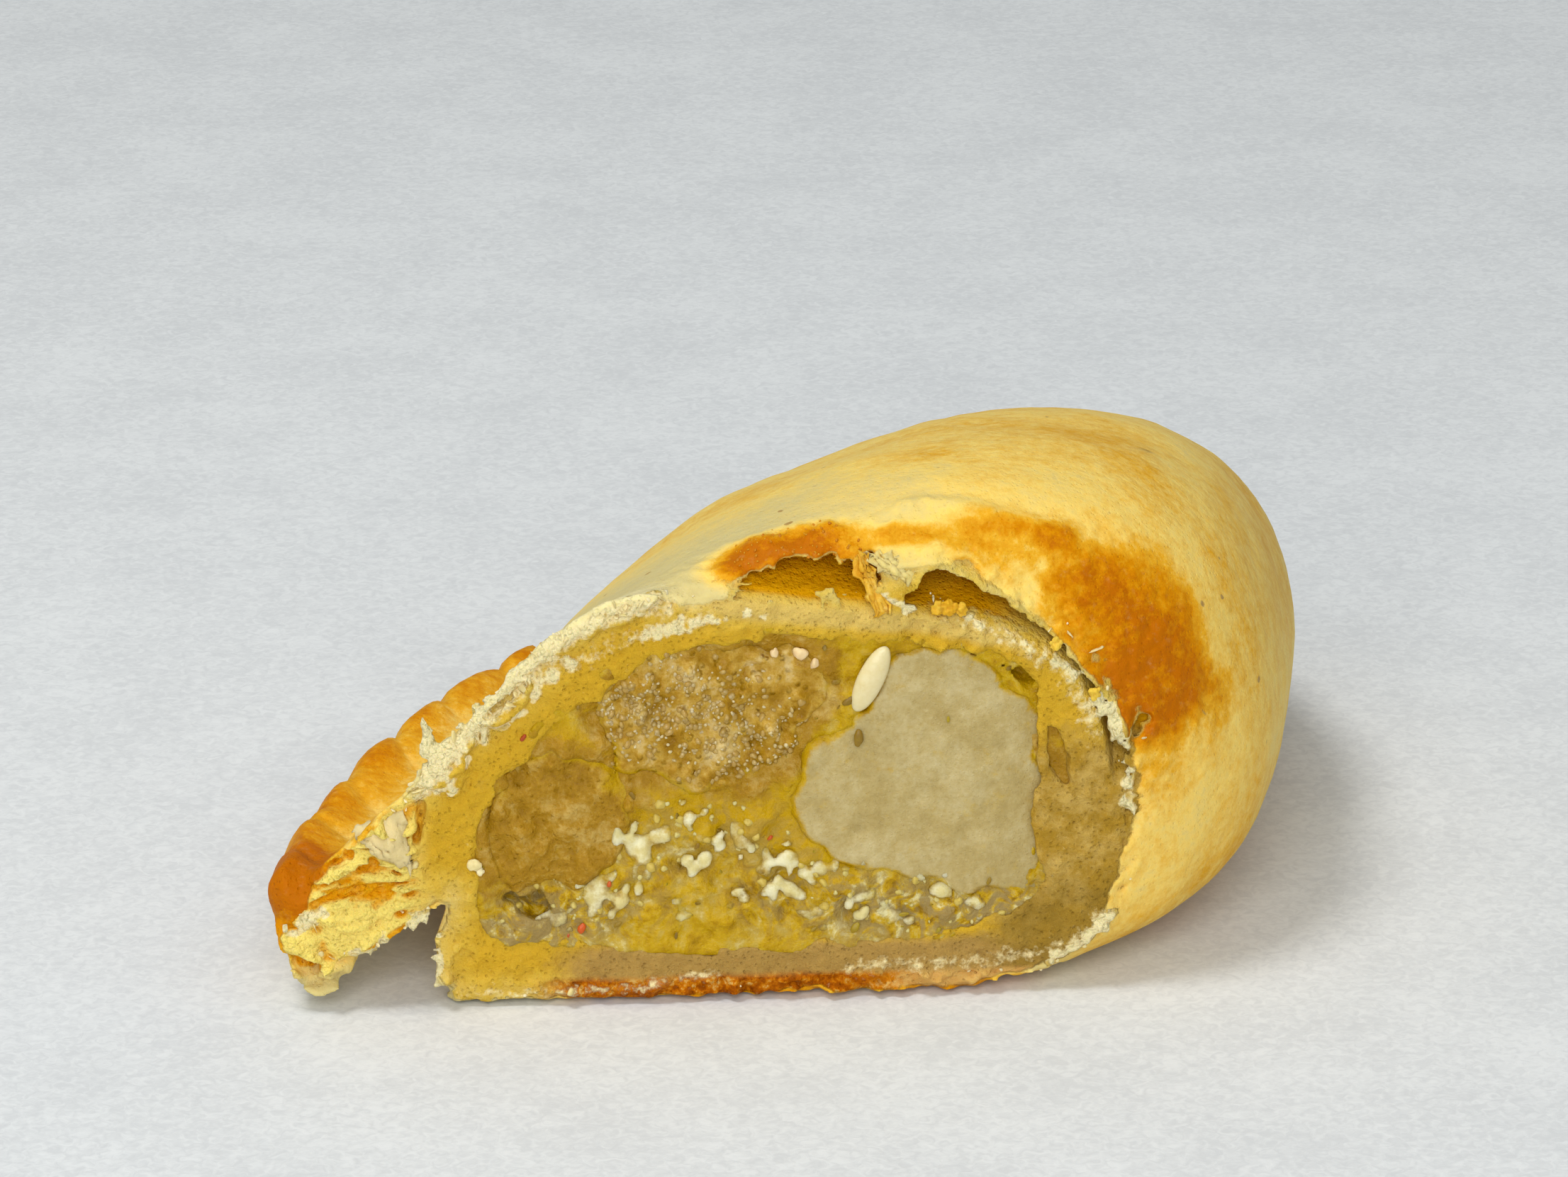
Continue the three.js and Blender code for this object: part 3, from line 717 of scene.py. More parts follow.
# Lumps of cheese that the knife went through, as [x, z, length, width, turn in degrees]
CHEESE_LUMPS = [
    (14.4, 12.1, 2.9, 2.2, 80), (16.0, 13.1, 3.4, 1.7, 28), (18.0, 14.7, 1.5, 1.1, 50),
    (13.8, 10.2, 1.7, 1.1, 75), (11.0, 8.8, 3.3, 1.9, 48), (12.8, 8.1, 1.7, 1.4, 80),
    (22.0, 13.2, 3.2, 1.9, 88), (20.4, 12.2, 1.5, 1.2, 60), (23.5, 10.4, 3.0, 2.1, 96),
    (25.1, 11.0, 1.3, 1.1, 0), (25.8, 8.4, 3.4, 1.5, -36), (28.0, 10.3, 2.7, 1.4, 108),
    (29.6, 9.2, 2.6, 1.4, 92), (26.8, 9.9, 1.5, 1.1, 40), (31.5, 8.1, 2.6, 1.9, 12),
    (33.2, 6.2, 2.0, 1.7, 0), (36.9, 8.0, 2.1, 1.6, -10), (39.9, 7.1, 2.2, 1.5, -14),
    (8.0, 6.7, 2.8, 1.9, 20), (27.8, 6.7, 1.8, 1.2, -20),
    (18.4, 10.6, 1.6, 1.1, 60), (22.2, 7.8, 1.4, 1.0, 20), (17.6, 7.4, 1.3, 0.9, 30),
    (30.2, 11.5, 1.4, 1.0, 70), (34.9, 8.9, 1.4, 1.0, 0),
]
CRUMBS_BY_LUMP = 3
CHEESE_CRUMB = (0.5, 1.0)  # smallest and largest
CHEESE_THICKNESS = 1.25  # at most
CHEESE_SINK = 0.08  # how far a lump's front lies behind the cut
# The cheese's arc through the filling, as [x, z]
CHEESE_ARC = [(5.5, 6.8), (10, 8.4), (14.2, 11.6), (17.5, 14.2), (21.5, 13.2), (24.5, 10.4), (28, 9.4),
              (32, 8), (36.5, 7.8), (41.5, 6.8)]
# The oiliest, yellowest paste, between the potatoes and the cheese
OILY_ARC = [(9.0, 19.5), (13, 17.5), (17, 16), (22, 15.5), (25.4, 14.5), (28, 11.5)]
PASTE_GAP = 0.55  # between the paste and the dough round it


def potato_field(potato, sides, face):
    """A cube of potato that the knife went through, with its corners boiled round. face says how
    far its cut face lies back, over x and z."""
    y = spread(FRONT_AXES[1], 1)
    sides = sides[:, None, :]
    back = y - potato["depth"]
    out, deep = np.maximum(sides + POTATO_CORNER, 0), np.maximum(back + POTATO_CORNER, 0)
    field = np.minimum(np.maximum(sides, back) + POTATO_CORNER, 0) + np.hypot(out, deep) - POTATO_CORNER
    return smooth_max(field, face[:, None, :] - y, 0.2)


def paste_relief(inner):
    """How far the paste's cut face lies back, over x and z. inner is the distance to the dough,
    negative inside the filling."""
    x = spread(FACE_AXES[0], 0, 2)
    lumps = 0.3 * layered_noise(FACE_AXES, 2.4, 93, octaves=3, fall=0.6)
    away = (0.3 + lumps) * ramp(inner, 0.2, -2.2)
    return 0.1 + 0.1 * lattice_noise(FACE_AXES, 1.1, 98) + away + 0.4 * ramp(x, 43.6, 44.8)


def paste_field(cavity, potato_sides, relief):
    """The herb paste: what fills the pastry round the potato. It smears thinly over the rims of
    the potatoes' cut faces."""
    field = cavity - PASTE_GAP
    front = field[FRONT]
    y = spread(FRONT_AXES[1], 1)
    for name, sides in potato_sides.items():
        smear = POTATOES[name]["smear"]
        inside = np.maximum(sides[:, None, :] + smear + 0.4, y - POTATOES[name]["depth"])
        front[...] = smooth_max(front, -inside, 0.1)
        relief = relief + 0.6 * ramp(sides, -0.2 * smear, -smear)
    ragged = 0.45 * layered_noise(FRONT_AXES, 1.4, 97)
    for chain, depth in HOLES:
        opening = line_distance(chain)[:, None, :] + ragged + bowl(y, depth)
        front[...] = smooth_max(front, -opening, 0.4)
    front[...] = smooth_max(front, relief[:, None, :] - y, 0.2)
    return field


def cheese_field():
    """Lumps of cheese with crumbs of it round them, a little proud of the paste."""
    field = np.full([len(axis) for axis in FRONT_AXES], FAR_OFF, np.float32)
    ragged = 0.13 * layered_noise(FRONT_AXES, 1.2, 95, octaves=2)
    draw = np.random.default_rng(407)
    for x, z, length, width, turn in CHEESE_LUMPS:
        lean = math.radians(turn)
        lumps = [(x, z, length, width)]
        for _ in range(CRUMBS_BY_LUMP):
            side, size = draw.uniform(0, 2 * math.pi), draw.uniform(*CHEESE_CRUMB)
            out = draw.uniform(0.4, 0.85)
            u, v = out * length * math.cos(side), out * (width + 0.6) * math.sin(side)
            crumb_x = x + u * math.cos(lean) - v * math.sin(lean)
            crumb_z = z + u * math.sin(lean) + v * math.cos(lean)
            lumps.append((crumb_x, crumb_z, size * draw.uniform(1.1, 2.0), size))
        for lump_x, lump_z, long, wide in lumps:
            thick = min(wide, CHEESE_THICKNESS)
            middle = np.array([lump_x, thick / 2 + CHEESE_SINK, lump_z])
            block, (dx, dy, dz) = block_round(middle, long / 2 + 1.5)
            u = dx * math.cos(lean) + dz * math.sin(lean)
            v = dz * math.cos(lean) - dx * math.sin(lean)
            share = np.sqrt((2 * u / long) ** 2 + (1.9 * v / wide) ** 2 + (2 * dy / thick) ** 2)
            field[block] = smooth_min(field[block], (share - 0.9) * thick / 2 + ragged[block], 0.1)
    return field


# ------------------------------------------------------------------ fields into meshes

CRUST_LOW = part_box("crust")[0]
WORK_ORIGIN = np.array([CRUST_LOW.x + RIM_OVERHANG * MM, CRUST_LOW.y, CRUST_LOW.z])


def to_part(points):
    """From the work frame in millimetres to the part's frame in metres."""
    return points * MM + WORK_ORIGIN


def to_work(points):
    """The way back, from the part's frame to the work frame."""
    return (points - WORK_ORIGIN) / MM


def object_of(name, mesh):
    """A smooth-shaded object at the origin."""
    mesh.polygons.foreach_set("use_smooth", np.ones(len(mesh.polygons), bool))
    piece = bpy.data.objects.new(name, mesh)
    bpy.context.collection.objects.link(piece)
    return piece


def quad_mesh(name, points, quads):
    """A piece from its points in the part's frame and its four-sided faces."""
    mesh = bpy.data.meshes.new(name)
    mesh.vertices.add(len(points))
    mesh.vertices.foreach_set("co", np.ascontiguousarray(points, np.float32).ravel())
    mesh.loops.add(quads.size)
    mesh.loops.foreach_set("vertex_index", quads.ravel().astype(np.int32))
    mesh.polygons.add(len(quads))
    mesh.polygons.foreach_set("loop_start", np.arange(len(quads), dtype=np.int32) * 4)
    mesh.update(calc_edges=True)
    mesh.validate()
    return object_of(name, mesh)


def plain_mesh(piece):
    """Replaces an object's modifiers by their result."""
    evaluated = piece.evaluated_get(bpy.context.evaluated_depsgraph_get())
    mesh = bpy.data.meshes.new_from_object(evaluated)
    piece.modifiers.clear()
    piece.data = mesh
    mesh.name = piece.name
    return piece


def surface_of(name, field, triangles, fine_depth):
    """The field's zero surface as a mesh of about so many triangles, finest up to fine_depth."""
    grid = vdb.FloatGrid(background=1.0)
    grid.copyFromArray(np.ascontiguousarray(field, np.float32))
    points, _, quads = grid.convertToPolygons(isovalue=0.0, adaptivity=0.0)
    points = points * VOXEL + GRID_LOW
    corners = points[quads.astype(int)]
    volume = np.einsum("ij,ij->i", corners[:, 0], np.cross(corners[:, 1], corners[:, 2])).sum()
    if volume < 0:
        quads = quads[:, ::-1]
    piece = quad_mesh(name, to_part(points), quads)
    share = triangles / (2 * len(quads))
    if share < 1:
        group = piece.vertex_groups.new(name="coarse")
        weights = np.round(ramp(points[:, 1], fine_depth, fine_depth + COARSENING), 1)
        for weight in np.unique(weights):
            group.add(np.nonzero(weights == weight)[0].tolist(), float(weight), "REPLACE")
        thin = piece.modifiers.new("Thin out", "DECIMATE")
        thin.ratio = share
        thin.vertex_group = group.name
        plain_mesh(piece)
    return piece


def finish_with(piece, material):
    """Gives every face of a piece one material."""
    piece.data.materials.clear()
    piece.data.materials.append(material)
    piece.data.polygons.foreach_set("material_index", np.zeros(len(piece.data.polygons), np.int32))


def points_of(piece):
    """A piece's vertices in the work frame."""
    points = np.empty(len(piece.data.vertices) * 3, np.float32)
    piece.data.vertices.foreach_get("co", points)
    return to_work(points.reshape(-1, 3))


def store(piece, name, values):
    """Keeps a number for each vertex, for a material or a scatter to read."""
    attribute = piece.data.attributes.new(name, "FLOAT", "POINT")
    attribute.data.foreach_set("value", np.ascontiguousarray(values, np.float32))


# ------------------------------------------------------------------ the pieces and their masks

CRUST_TRIANGLES = 186000
PASTE_TRIANGLES = 90000
POTATO_TRIANGLES = 30000
CHEESE_TRIANGLES = 40000
# How far back from the cut each is at its finest
CRUST_FINE_DEPTH = 4.0
FILLING_FINE_DEPTH = 3.0
COARSENING = 4.0  # over how many millimetres behind that it coarsens


def near_line(points, chain, reach):
    """1 on the chain of [x, z] points, falling to 0 at its reach."""
    away = np.full(len(points), np.inf)
    for a, b in zip(chain, chain[1:]):
        span = np.array(b, float) - a
        offset = points[:, [0, 2]] - a
        share = np.clip(offset @ span / (span @ span), 0, 1)
        away = np.minimum(away, np.linalg.norm(offset - share[:, None] * span, axis=1))
    return smooth(1 - away / reach)


def patch(points, middle, reach):
    """A soft spot: 1 at its middle, 0 outside its reach in x, y and z."""
    away = np.linalg.norm((points - middle) / reach, axis=1)
    return smooth(1 - away)


def waves(points, length):
    """A smooth unevenness from -1 to 1, in waves of about so many millimetres."""
    x, y, z = (points * (2 * np.pi / length)).T
    return (np.sin(x + 1.3 * y) + np.sin(1.1 * z - 0.8 * y + 2) + np.sin(0.7 * x - 1.2 * z + 4)) / 3


# How brown the rim is in a crease, and how much more on the middle of a fold
RIM_BROWN = 0.39
CREASE_BROWN = 0.22
# Bands along the rim: how far in from its edge, half their width, and how much browner they are
RIM_BANDS = [(1.0, 3.0, 0.16), (6.0, 3.0, -0.20), (9.0, 2.0, 0.06)]
# How brown the oven leaves the base's edge and underside, and the skin all over
TRAY_BROWN = 0.5
UNDERSIDE_BROWN = 0.62
SKIN_BROWN = 0.30
# The middle of the flank's brown at the cut, as [x, z]
FLANK_LINE = [(43.5, 35.6), (47.0, 33.0), (50.0, 28.0), (51.6, 22.5)]
# Where the oven browned the skin: middle, reach and strength
BROWN_PATCHES = [
    ((26.5, 2.2, 35.2), (9.2, 3.8, 4.8), 1.20),
    ((22.4, 2.4, 34.5), (5.0, 3.8, 4.2), 0.90),
    ((34.5, 2.0, 36.8), (8.0, 1.8, 2.6), 0.80),
    ((42.0, 3.2, 36.0), (8.0, 2.6, 3.0), 0.66),
    ((45.5, 3.5, 34.8), (5.0, 3.0, 3.4), 0.80),
    ((40.0, 2.0, 33.2), (12.0, 4.4, 6.0), 0.46),
    ((35.0, 15.0, 38.4), (8.0, 6.0, 5.0), 0.22),
    ((50.0, 24.0, 34.0), (10.0, 10.0, 8.0), 0.20),
    ((46.0, 17.0, 38.0), (30.0, 30.0, 26.0), 0.31),
    ((60.0, 36.0, 24.0), (16.0, 22.0, 18.0), 0.42),
    ((40.0, 60.0, 24.0), (20.0, 16.0, 16.0), 0.44),
    ((12.0, 44.0, 26.0), (14.0, 18.0, 12.0), 0.22),
    ((-11.6, 3.0, 11.0), (6.5, 9.0, 8.0), 1.6),
]
# Pale crumbly layers along the cut: the line as [x, z], its reach and its strength
FLAKY_BANDS = [
    ([(9.0, 27.0), (13.5, 29.3), (19.5, 30.8)], 1.4, 0.50),
    ([(36.5, 31.2), (41.5, 29.4), (46.4, 25.9), (48.6, 21.0)], 1.9, 0.58),
    ([(30.0, 2.2), (41.0, 2.5), (47.0, 3.6), (50.0, 6.4)], 1.3, 0.52),
    ([(0.9, 1.0), (8.0, 0.8), (20.0, 1.9)], 1.0, 0.45),
]


def rim_browning(points, away):
    """The crimp's browning: stronger along its edge and on its folds. away is from its edge."""
    z = points[:, 2]
    crease = at_points(ROPE_CREASE, points[:, :2], AXES[:2])
    on_rim = ramp(away - 1.8 * crease + 1.2 * waves(points, 17), 13.6, 9.4) * ramp(z, 19.0, 14.0)
    strength = RIM_BROWN + CREASE_BROWN * crease
    for middle, half_width, more in RIM_BANDS:
        strength = strength + more * bump(away, middle, half_width)
    return on_rim * strength * ramp(z, 1.5, 6.0)


def flank_browning(points):
    """The flank's brown. It follows the side as it swells behind the cut, and reaches further
    back low down."""
    x, y, z = points.T
    fold_x, fold_y = zip(*FOLD_LINE)
    swell = (np.interp(y, fold_y, fold_x) - fold_x[0]) * lerp(1.0, 0.5, ramp(z, 20, 37))
    level = np.stack([x - swell, y, z], -1)
    level[:, 2] += 2.2 * waves(points, 13)
    far = lerp(6.0, 9.5, ramp(level[:, 0], 43.0, 51.5)) * (1 + 0.25 * waves(points, 10))
    flap = ramp(x, 33, 36) * ramp(x, 45.5, 42.5) * ramp(y, 4.2, 2.8)
    fading = np.clip(1.45 * (1 - y / far), 0, 1)
    flank = near_line(level, FLANK_LINE, 8.0) * fading * ramp(level[:, 0], 39, 44)
    return (1.08 - 0.3 * ramp(y, 2.5, 10)) * flank * (1 - 0.7 * flap)


def skin_browning(points, away):
    """How browned the oven left the skin at each point, 0 pale and 1 darkest."""
    x, y, z = points.T
    brown = rim_browning(points, away)
    for middle, reach, strength in BROWN_PATCHES:
        spot = patch(points, middle, reach)
        brown = np.maximum(brown, strength * spot + np.minimum(brown, 0.3) * spot)
    brown = np.maximum(brown, flank_browning(points))
    # From the tray up, and a little all over away from the cut's pale left
    tray = TRAY_BROWN * ramp(z, 6.0, 0.5) * ramp(y, 5, 16)
    baked = SKIN_BROWN + 0.07 * waves(points, 23) + 0.04 * waves(points, 9)
    all_over = baked * np.maximum(ramp(y, 6, 20), ramp(x, 43, 50))
    brown = np.maximum(brown, np.maximum(tray, all_over) + 0.4 * np.minimum(tray, all_over))
    return np.maximum(brown, ramp(z, 1.9, 0.4) * ramp(x, 5, 12) * ramp(x, 49, 43) * UNDERSIDE_BROWN)


def flakiness(points, depth):
    """How pale and flaky the dough is along the cut."""
    x, y, z = points.T
    flake = slope_mask(x, z) * ramp(depth, FLAKE_BAND + 0.6, FLAKE_BAND - 0.6) * ramp(y, 1.6, 0.6)
    for band, reach, strength in FLAKY_BANDS:
        flake = np.maximum(flake, strength * near_line(points, band, reach) * ramp(y, 1.8, 0.9))
    return flake


def crust_masks(crust, outer, cavity, skin, threads):
    """Stores on each vertex how browned, how deep in the dough and how flaky it is, and how far
    it belongs to each part of the cut that has a colour of its own or painted shade."""
    points = points_of(crust)
    x, y, z = points.T
    depth = -at_points(skin, points)
    inner = at_points(cavity, points)
    away = at_points(RIM_AWAY, points[:, :2], AXES[:2])
    edge = at_points(outer[:, CUT_LAYER, :], points[:, [0, 2]], FACE_AXES)
    roll = crimp_roll(x, z, edge)[1] * ramp(y, 6, 4)
    depth = depth * (1 - roll)
    blister = ramp(depth, 0.45, 0.7) * ramp(y, 0.5, 1.3) * ramp(z, 19, 21) * ramp(inner, 1.6, 2.4)
    ledge = bump(z - along(LEDGE, x), -1.1, 1.5) * ramp(x, 17, 21) * ramp(x, 46, 40)
    base = ramp(z, BASE_CRUST + 0.3, BASE_CRUST - 0.2) * ramp(x, 5, 10)
    clipped = np.minimum(points, (np.inf, FRONT_AXES[1][-2], np.inf))
    thread = ramp(at_points(threads, clipped, FRONT_AXES), 0.3, 0.05)
    slope_edge = ramp(x, -4, 0) * ramp(x, 19, 14) * ramp(z, 15, 18) * ramp(away, 9.5, 12.0)
    masks = {
        "browning": skin_browning(points, away),
        "depth": np.maximum(depth, 1.5 * thread),
        "blister": blister,
        "flake": np.maximum(0.92 * flakiness(points, depth), thread * ramp(z, 0.9, 1.4)),
        "chalky": 0.8 * slope_edge * ramp(y, 5.0, 1.0),
        "crimp": ramp(x, -1.0, -3.5) * ramp(y, 6.0, 3.0),
        # How far back from the cut a point lies: there the crumb is painted more golden, partly its own
        # colour and partly painted shade
        "recess_gold_and_shade": ramp(y, -0.15, 0.55),
        "ledge": ledge * ramp(y, 1.5, 0.8),
        "olive": ramp(x, 38, 45) * ramp(z, 2.2, 4.5) * ramp(z, 24, 17),
        # Painted shade: the dough low on the right of the cut is darkened as if in shade
        "shade": 0.65 * ramp(x, 38, 44) * ramp(z, 11, 7),
        "low": ramp(z, 5.5, 3.5) * ramp(x, 5, 12) * ramp(x, 49, 45),
        "toasted": base * ramp(y, 2.5, 1.5),
        "charred": 0.1 + 0.9 * ramp(x, 36, 29),
    }
    for name, values in masks.items():
        store(crust, name, values)


def potato_fields(cavity, relief):
    """Each potato's field over the front of the grid, and the distance to its outline on the
    cut's face: {name: field}, {name: sides}."""
    sides, fields = {}, {}
    for name, potato in POTATOES.items():
        seed, smear = potato["seed"], potato["smear"]
        wander = 0.3 * layered_noise(FACE_AXES, 1.8, seed)
        wander = wander + 0.45 * smear * lattice_noise(FACE_AXES, 3.2, seed + 2)
        sides[name] = outline_distance(potato["outline"]) + wander - 0.5 * smear
        own = potato["set_back"] + potato["uneven"] * layered_noise(FACE_AXES, potato["grain"], seed + 5)
        face = lerp(own, relief + 0.3, ramp(sides[name], -smear, 0.2))
        field = potato_field(potato, sides[name], face)
        fields[name] = smooth_max(field, cavity[FRONT] + 0.1, 0.3)
    # The knife left a slanting facet on the pale cube's right side
    x, y, z = (spread(axis, k) for k, axis in enumerate(FRONT_AXES))
    facet = 0.2 * np.maximum(x - 41.0 - 0.12 * (z - 18), 0) - y
    fields["potato_right"] = smooth_max(fields["potato_right"], facet + 0.02, 0.15)
    return fields, sides


def potato_smear(name, points, sides):
    """How much paste lies on a potato's vertices: most round the rim of its cut face."""
    smear = POTATOES[name]["smear"]
    inwards = -at_points(sides, points[:, [0, 2]], FACE_AXES)
    stained = 1.0 if name == "potato_right" else lerp(0.2, 1.0, near_line(points, OILY_ARC, 6.0))
    return ramp(inwards, 1.25 * smear, 0.35 * smear) * stained


def paste_smear(points, sides):
    """How far the filling shows paste and not the potato that is mashed into it between the two
    darker cubes."""
    beside = np.minimum(sides["potato_left"], sides["potato_top"])
    mash = ramp(at_points(beside, points[:, [0, 2]], FACE_AXES), 2.6, 0.4)
    in_cleft = near_line(points, [spot[:2] for spot in CLEFT], 2.6)
    cleft = ramp(in_cleft, 0.1, 0.5) * ramp(points[:, 1], 0.2, 0.6)
    return 1.3 - 1.2 * mash * (1 - near_line(points, CHEESE_ARC, 4.5)) - 2 * cleft


def make_pieces():
    """The pastry, the paste, the potatoes and the cheese: {name: piece}."""
    outer = loft_distance(outer_sections())
    cavity = loft_distance(cavity_sections())
    relief = paste_relief(cavity[:, CUT_LAYER, :])
    fields, sides = potato_fields(cavity, relief)
    threads = tuft_field()
    crust_distance, skin = crust_field(outer, cavity, threads)
    crust = surface_of("pastry_crust", crust_distance, CRUST_TRIANGLES, CRUST_FINE_DEPTH)
    crust_masks(crust, outer, cavity, skin, threads)
    paste_distance = paste_field(cavity, sides, relief)
    paste = surface_of("herb_filling", paste_distance, PASTE_TRIANGLES, FILLING_FINE_DEPTH)
    store(paste, "smear", paste_smear(points_of(paste), sides))
    cheese = surface_of("cheese_lumps", cheese_field(), CHEESE_TRIANGLES, FILLING_FINE_DEPTH)
    store(cheese, "raised", at_points(paste_distance, points_of(cheese)))
    pieces = {"crust": crust, "filling": paste, "cheese": cheese}
    for name, field in fields.items():
        piece = surface_of(name + "_cube", field, POTATO_TRIANGLES, FILLING_FINE_DEPTH)
        store(piece, "smear", potato_smear(name, points_of(piece), sides[name]))
        pieces[name] = piece
    for piece in pieces.values():
        points = points_of(piece)
        store(piece, "oily", near_line(points, OILY_ARC, 5.5))
        milky = near_line(points, CHEESE_ARC, 7.5) * lerp(0.55, 1.35, ramp(points[:, 2], 11, 6))
        store(piece, "milky", milky)
    return pieces


# ------------------------------------------------------------------ crumbs, seeds and flecks

def socket(tree, name, kind, in_out="INPUT"):
    """Adds a named input or output to a node group."""
    return tree.interface.new_socket(name, in_out=in_out, socket_type="NodeSocket" + kind)


def add(tree, kind, inputs=None, **settings):
    """Adds a node. An input is a number, or another node's output socket to link from."""
    node = tree.nodes.new(kind)
    for name, value in settings.items():
        setattr(node, name, value)
    for name, value in (inputs or {}).items():
        if isinstance(value, bpy.types.NodeSocket):
            tree.links.new(value, node.inputs[name])
        else:
            node.inputs[name].default_value = value
    return node


def math_node(tree, operation, a, b):
    """The result of one sum on two sockets or numbers."""
    return add(tree, "ShaderNodeMath", {0: a, 1: b}, operation=operation).outputs[0]


def plus(tree, a, b):
    return math_node(tree, "ADD", a, b)


def minus(tree, a, b):
    return math_node(tree, "SUBTRACT", a, b)


def times(tree, a, b):
    return math_node(tree, "MULTIPLY", a, b)


CRUMB_SIZES = ["Smallest", "Largest", "Length", "Flatness", "Lift", "Knobbliness", "Knob grain", "Tumble"]


def crumb_inputs(tree, extra):
    """The sockets that both crumb trees have: their geometry, sizes, seed, facets and material."""
    socket(tree, "Geometry", "Geometry")
    for name, kind in extra + [(size, "Float") for size in CRUMB_SIZES]:
        socket(tree, name, kind)
    socket(tree, "Seed", "Int")
    socket(tree, "Facets", "Int")
    socket(tree, "Material", "Material")
    socket(tree, "Geometry", "Geometry", "OUTPUT")
    return add(tree, "NodeGroupInput").outputs


def crumb_shapes(tree, given, points, normal, rotation, size):
    """Knobbly lumps on the points, made real and given their material."""
    lift = times(tree, size, given["Lift"])
    out = add(tree, "ShaderNodeVectorMath", {0: normal, "Scale": lift}, operation="SCALE").outputs[0]
    raised = add(tree, "GeometryNodeSetPosition", {"Geometry": points, "Offset": out}).outputs[0]
    tint = add(tree, "FunctionNodeRandomValue", {"Seed": given["Seed"]}, data_type="FLOAT")
    tinted = add(tree, "GeometryNodeStoreNamedAttribute", {
        "Geometry": raised, "Name": "tint", "Value": tint.outputs[1],
    }, data_type="FLOAT", domain="POINT").outputs[0]
    lump = add(tree, "GeometryNodeMeshIcoSphere", {"Radius": 0.5, "Subdivisions": given["Facets"]})
    scale = add(tree, "ShaderNodeCombineXYZ", {
        "X": times(tree, size, given["Length"]),
        "Y": size,
        "Z": times(tree, size, given["Flatness"]),
    }).outputs[0]
    placed = add(tree, "GeometryNodeInstanceOnPoints", {
        "Points": tinted, "Instance": lump.outputs["Mesh"], "Rotation": rotation, "Scale": scale,
    }).outputs[0]
    real = add(tree, "GeometryNodeRealizeInstances", {"Geometry": placed}).outputs[0]
    knobs = add(tree, "ShaderNodeTexNoise", {"Scale": given["Knob grain"], "Detail": 2.0}).outputs[0]
    high = times(tree, minus(tree, knobs, 0.5), given["Knobbliness"])
    outwards = add(tree, "GeometryNodeInputNormal").outputs[0]
    knob = add(tree, "ShaderNodeVectorMath", {0: outwards, "Scale": high}, operation="SCALE").outputs[0]
    knobbly = add(tree, "GeometryNodeSetPosition", {"Geometry": real, "Offset": knob}).outputs[0]
    soft = add(tree, "GeometryNodeSetShadeSmooth", {"Geometry": knobbly}).outputs[0]
    finished = add(tree, "GeometryNodeSetMaterial", {"Geometry": soft, "Material": given["Material"]})
    tree.links.new(finished.outputs[0], add(tree, "NodeGroupOutput").inputs[0])


def random_turn(tree, given, rotation):
    """Turns a rotation about its own normal at random, and tilts it by the tumble."""
    turn = add(tree, "FunctionNodeRandomValue", {
        "Min": (-math.pi,) * 3, "Max": (math.pi,) * 3, "Seed": given["Seed"],
    }, data_type="FLOAT_VECTOR").outputs[0]
    limits = add(tree, "ShaderNodeCombineXYZ", {"X": given["Tumble"], "Y": given["Tumble"], "Z": 1.0})
    tilt = add(tree, "ShaderNodeVectorMath", {0: turn, 1: limits.outputs[0]}, operation="MULTIPLY")
    angles = add(tree, "FunctionNodeEulerToRotation", {0: tilt.outputs[0]}).outputs[0]
    return add(tree, "FunctionNodeRotateRotation", {
        "Rotation": rotation, "Rotate By": angles,
    }, rotation_space="LOCAL").outputs[0]


def scatter_tree():
    """Crumbs strewn over the faces of a piece, as thickly as one of its stored numbers says."""
    tree = bpy.data.node_groups.new("Strew crumbs", "GeometryNodeTree")
    given = crumb_inputs(tree, [("Zone", "String"), ("Per square metre", "Float")])
    zone = add(tree, "GeometryNodeInputNamedAttribute", {"Name": given["Zone"]}, data_type="FLOAT")
    strewn = add(tree, "GeometryNodeDistributePointsOnFaces", {
        "Mesh": given["Geometry"],
        "Density": times(tree, zone.outputs[0], given["Per square metre"]),
        "Seed": given["Seed"],
    }, distribute_method="RANDOM")
    size = add(tree, "FunctionNodeRandomValue", {
        "Min": 0.0, "Max": 1.0, "Seed": given["Seed"],
    }, data_type="FLOAT").outputs[1]
    few_large = math_node(tree, "POWER", size, 1.8)
    spread_size = minus(tree, given["Largest"], given["Smallest"])
    size = plus(tree, times(tree, few_large, spread_size), given["Smallest"])
    rotation = random_turn(tree, given, strewn.outputs["Rotation"])
    crumb_shapes(tree, given, strewn.outputs["Points"], strewn.outputs["Normal"], rotation, size)
    return tree


def placed_tree():
    """Crumbs at the points of a mesh, each with its own stored size and turn about y."""
    tree = bpy.data.node_groups.new("Place crumbs", "GeometryNodeTree")
    given = crumb_inputs(tree, [])
    points = add(tree, "GeometryNodeMeshToPoints", {"Mesh": given["Geometry"]}).outputs[0]
    size = add(tree, "GeometryNodeInputNamedAttribute", {"Name": "size"}, data_type="FLOAT").outputs[0]
    turn = add(tree, "GeometryNodeInputNamedAttribute", {"Name": "turn"}, data_type="FLOAT").outputs[0]
    facing = add(tree, "ShaderNodeCombineXYZ", {"X": math.pi / 2, "Y": turn, "Z": 0.0}).outputs[0]
    rotation = add(tree, "FunctionNodeEulerToRotation", {0: facing}).outputs[0]
    forward = add(tree, "ShaderNodeCombineXYZ", {"Y": -1.0}).outputs[0]
    crumb_shapes(tree, given, points, forward, rotation, size)
    return tree


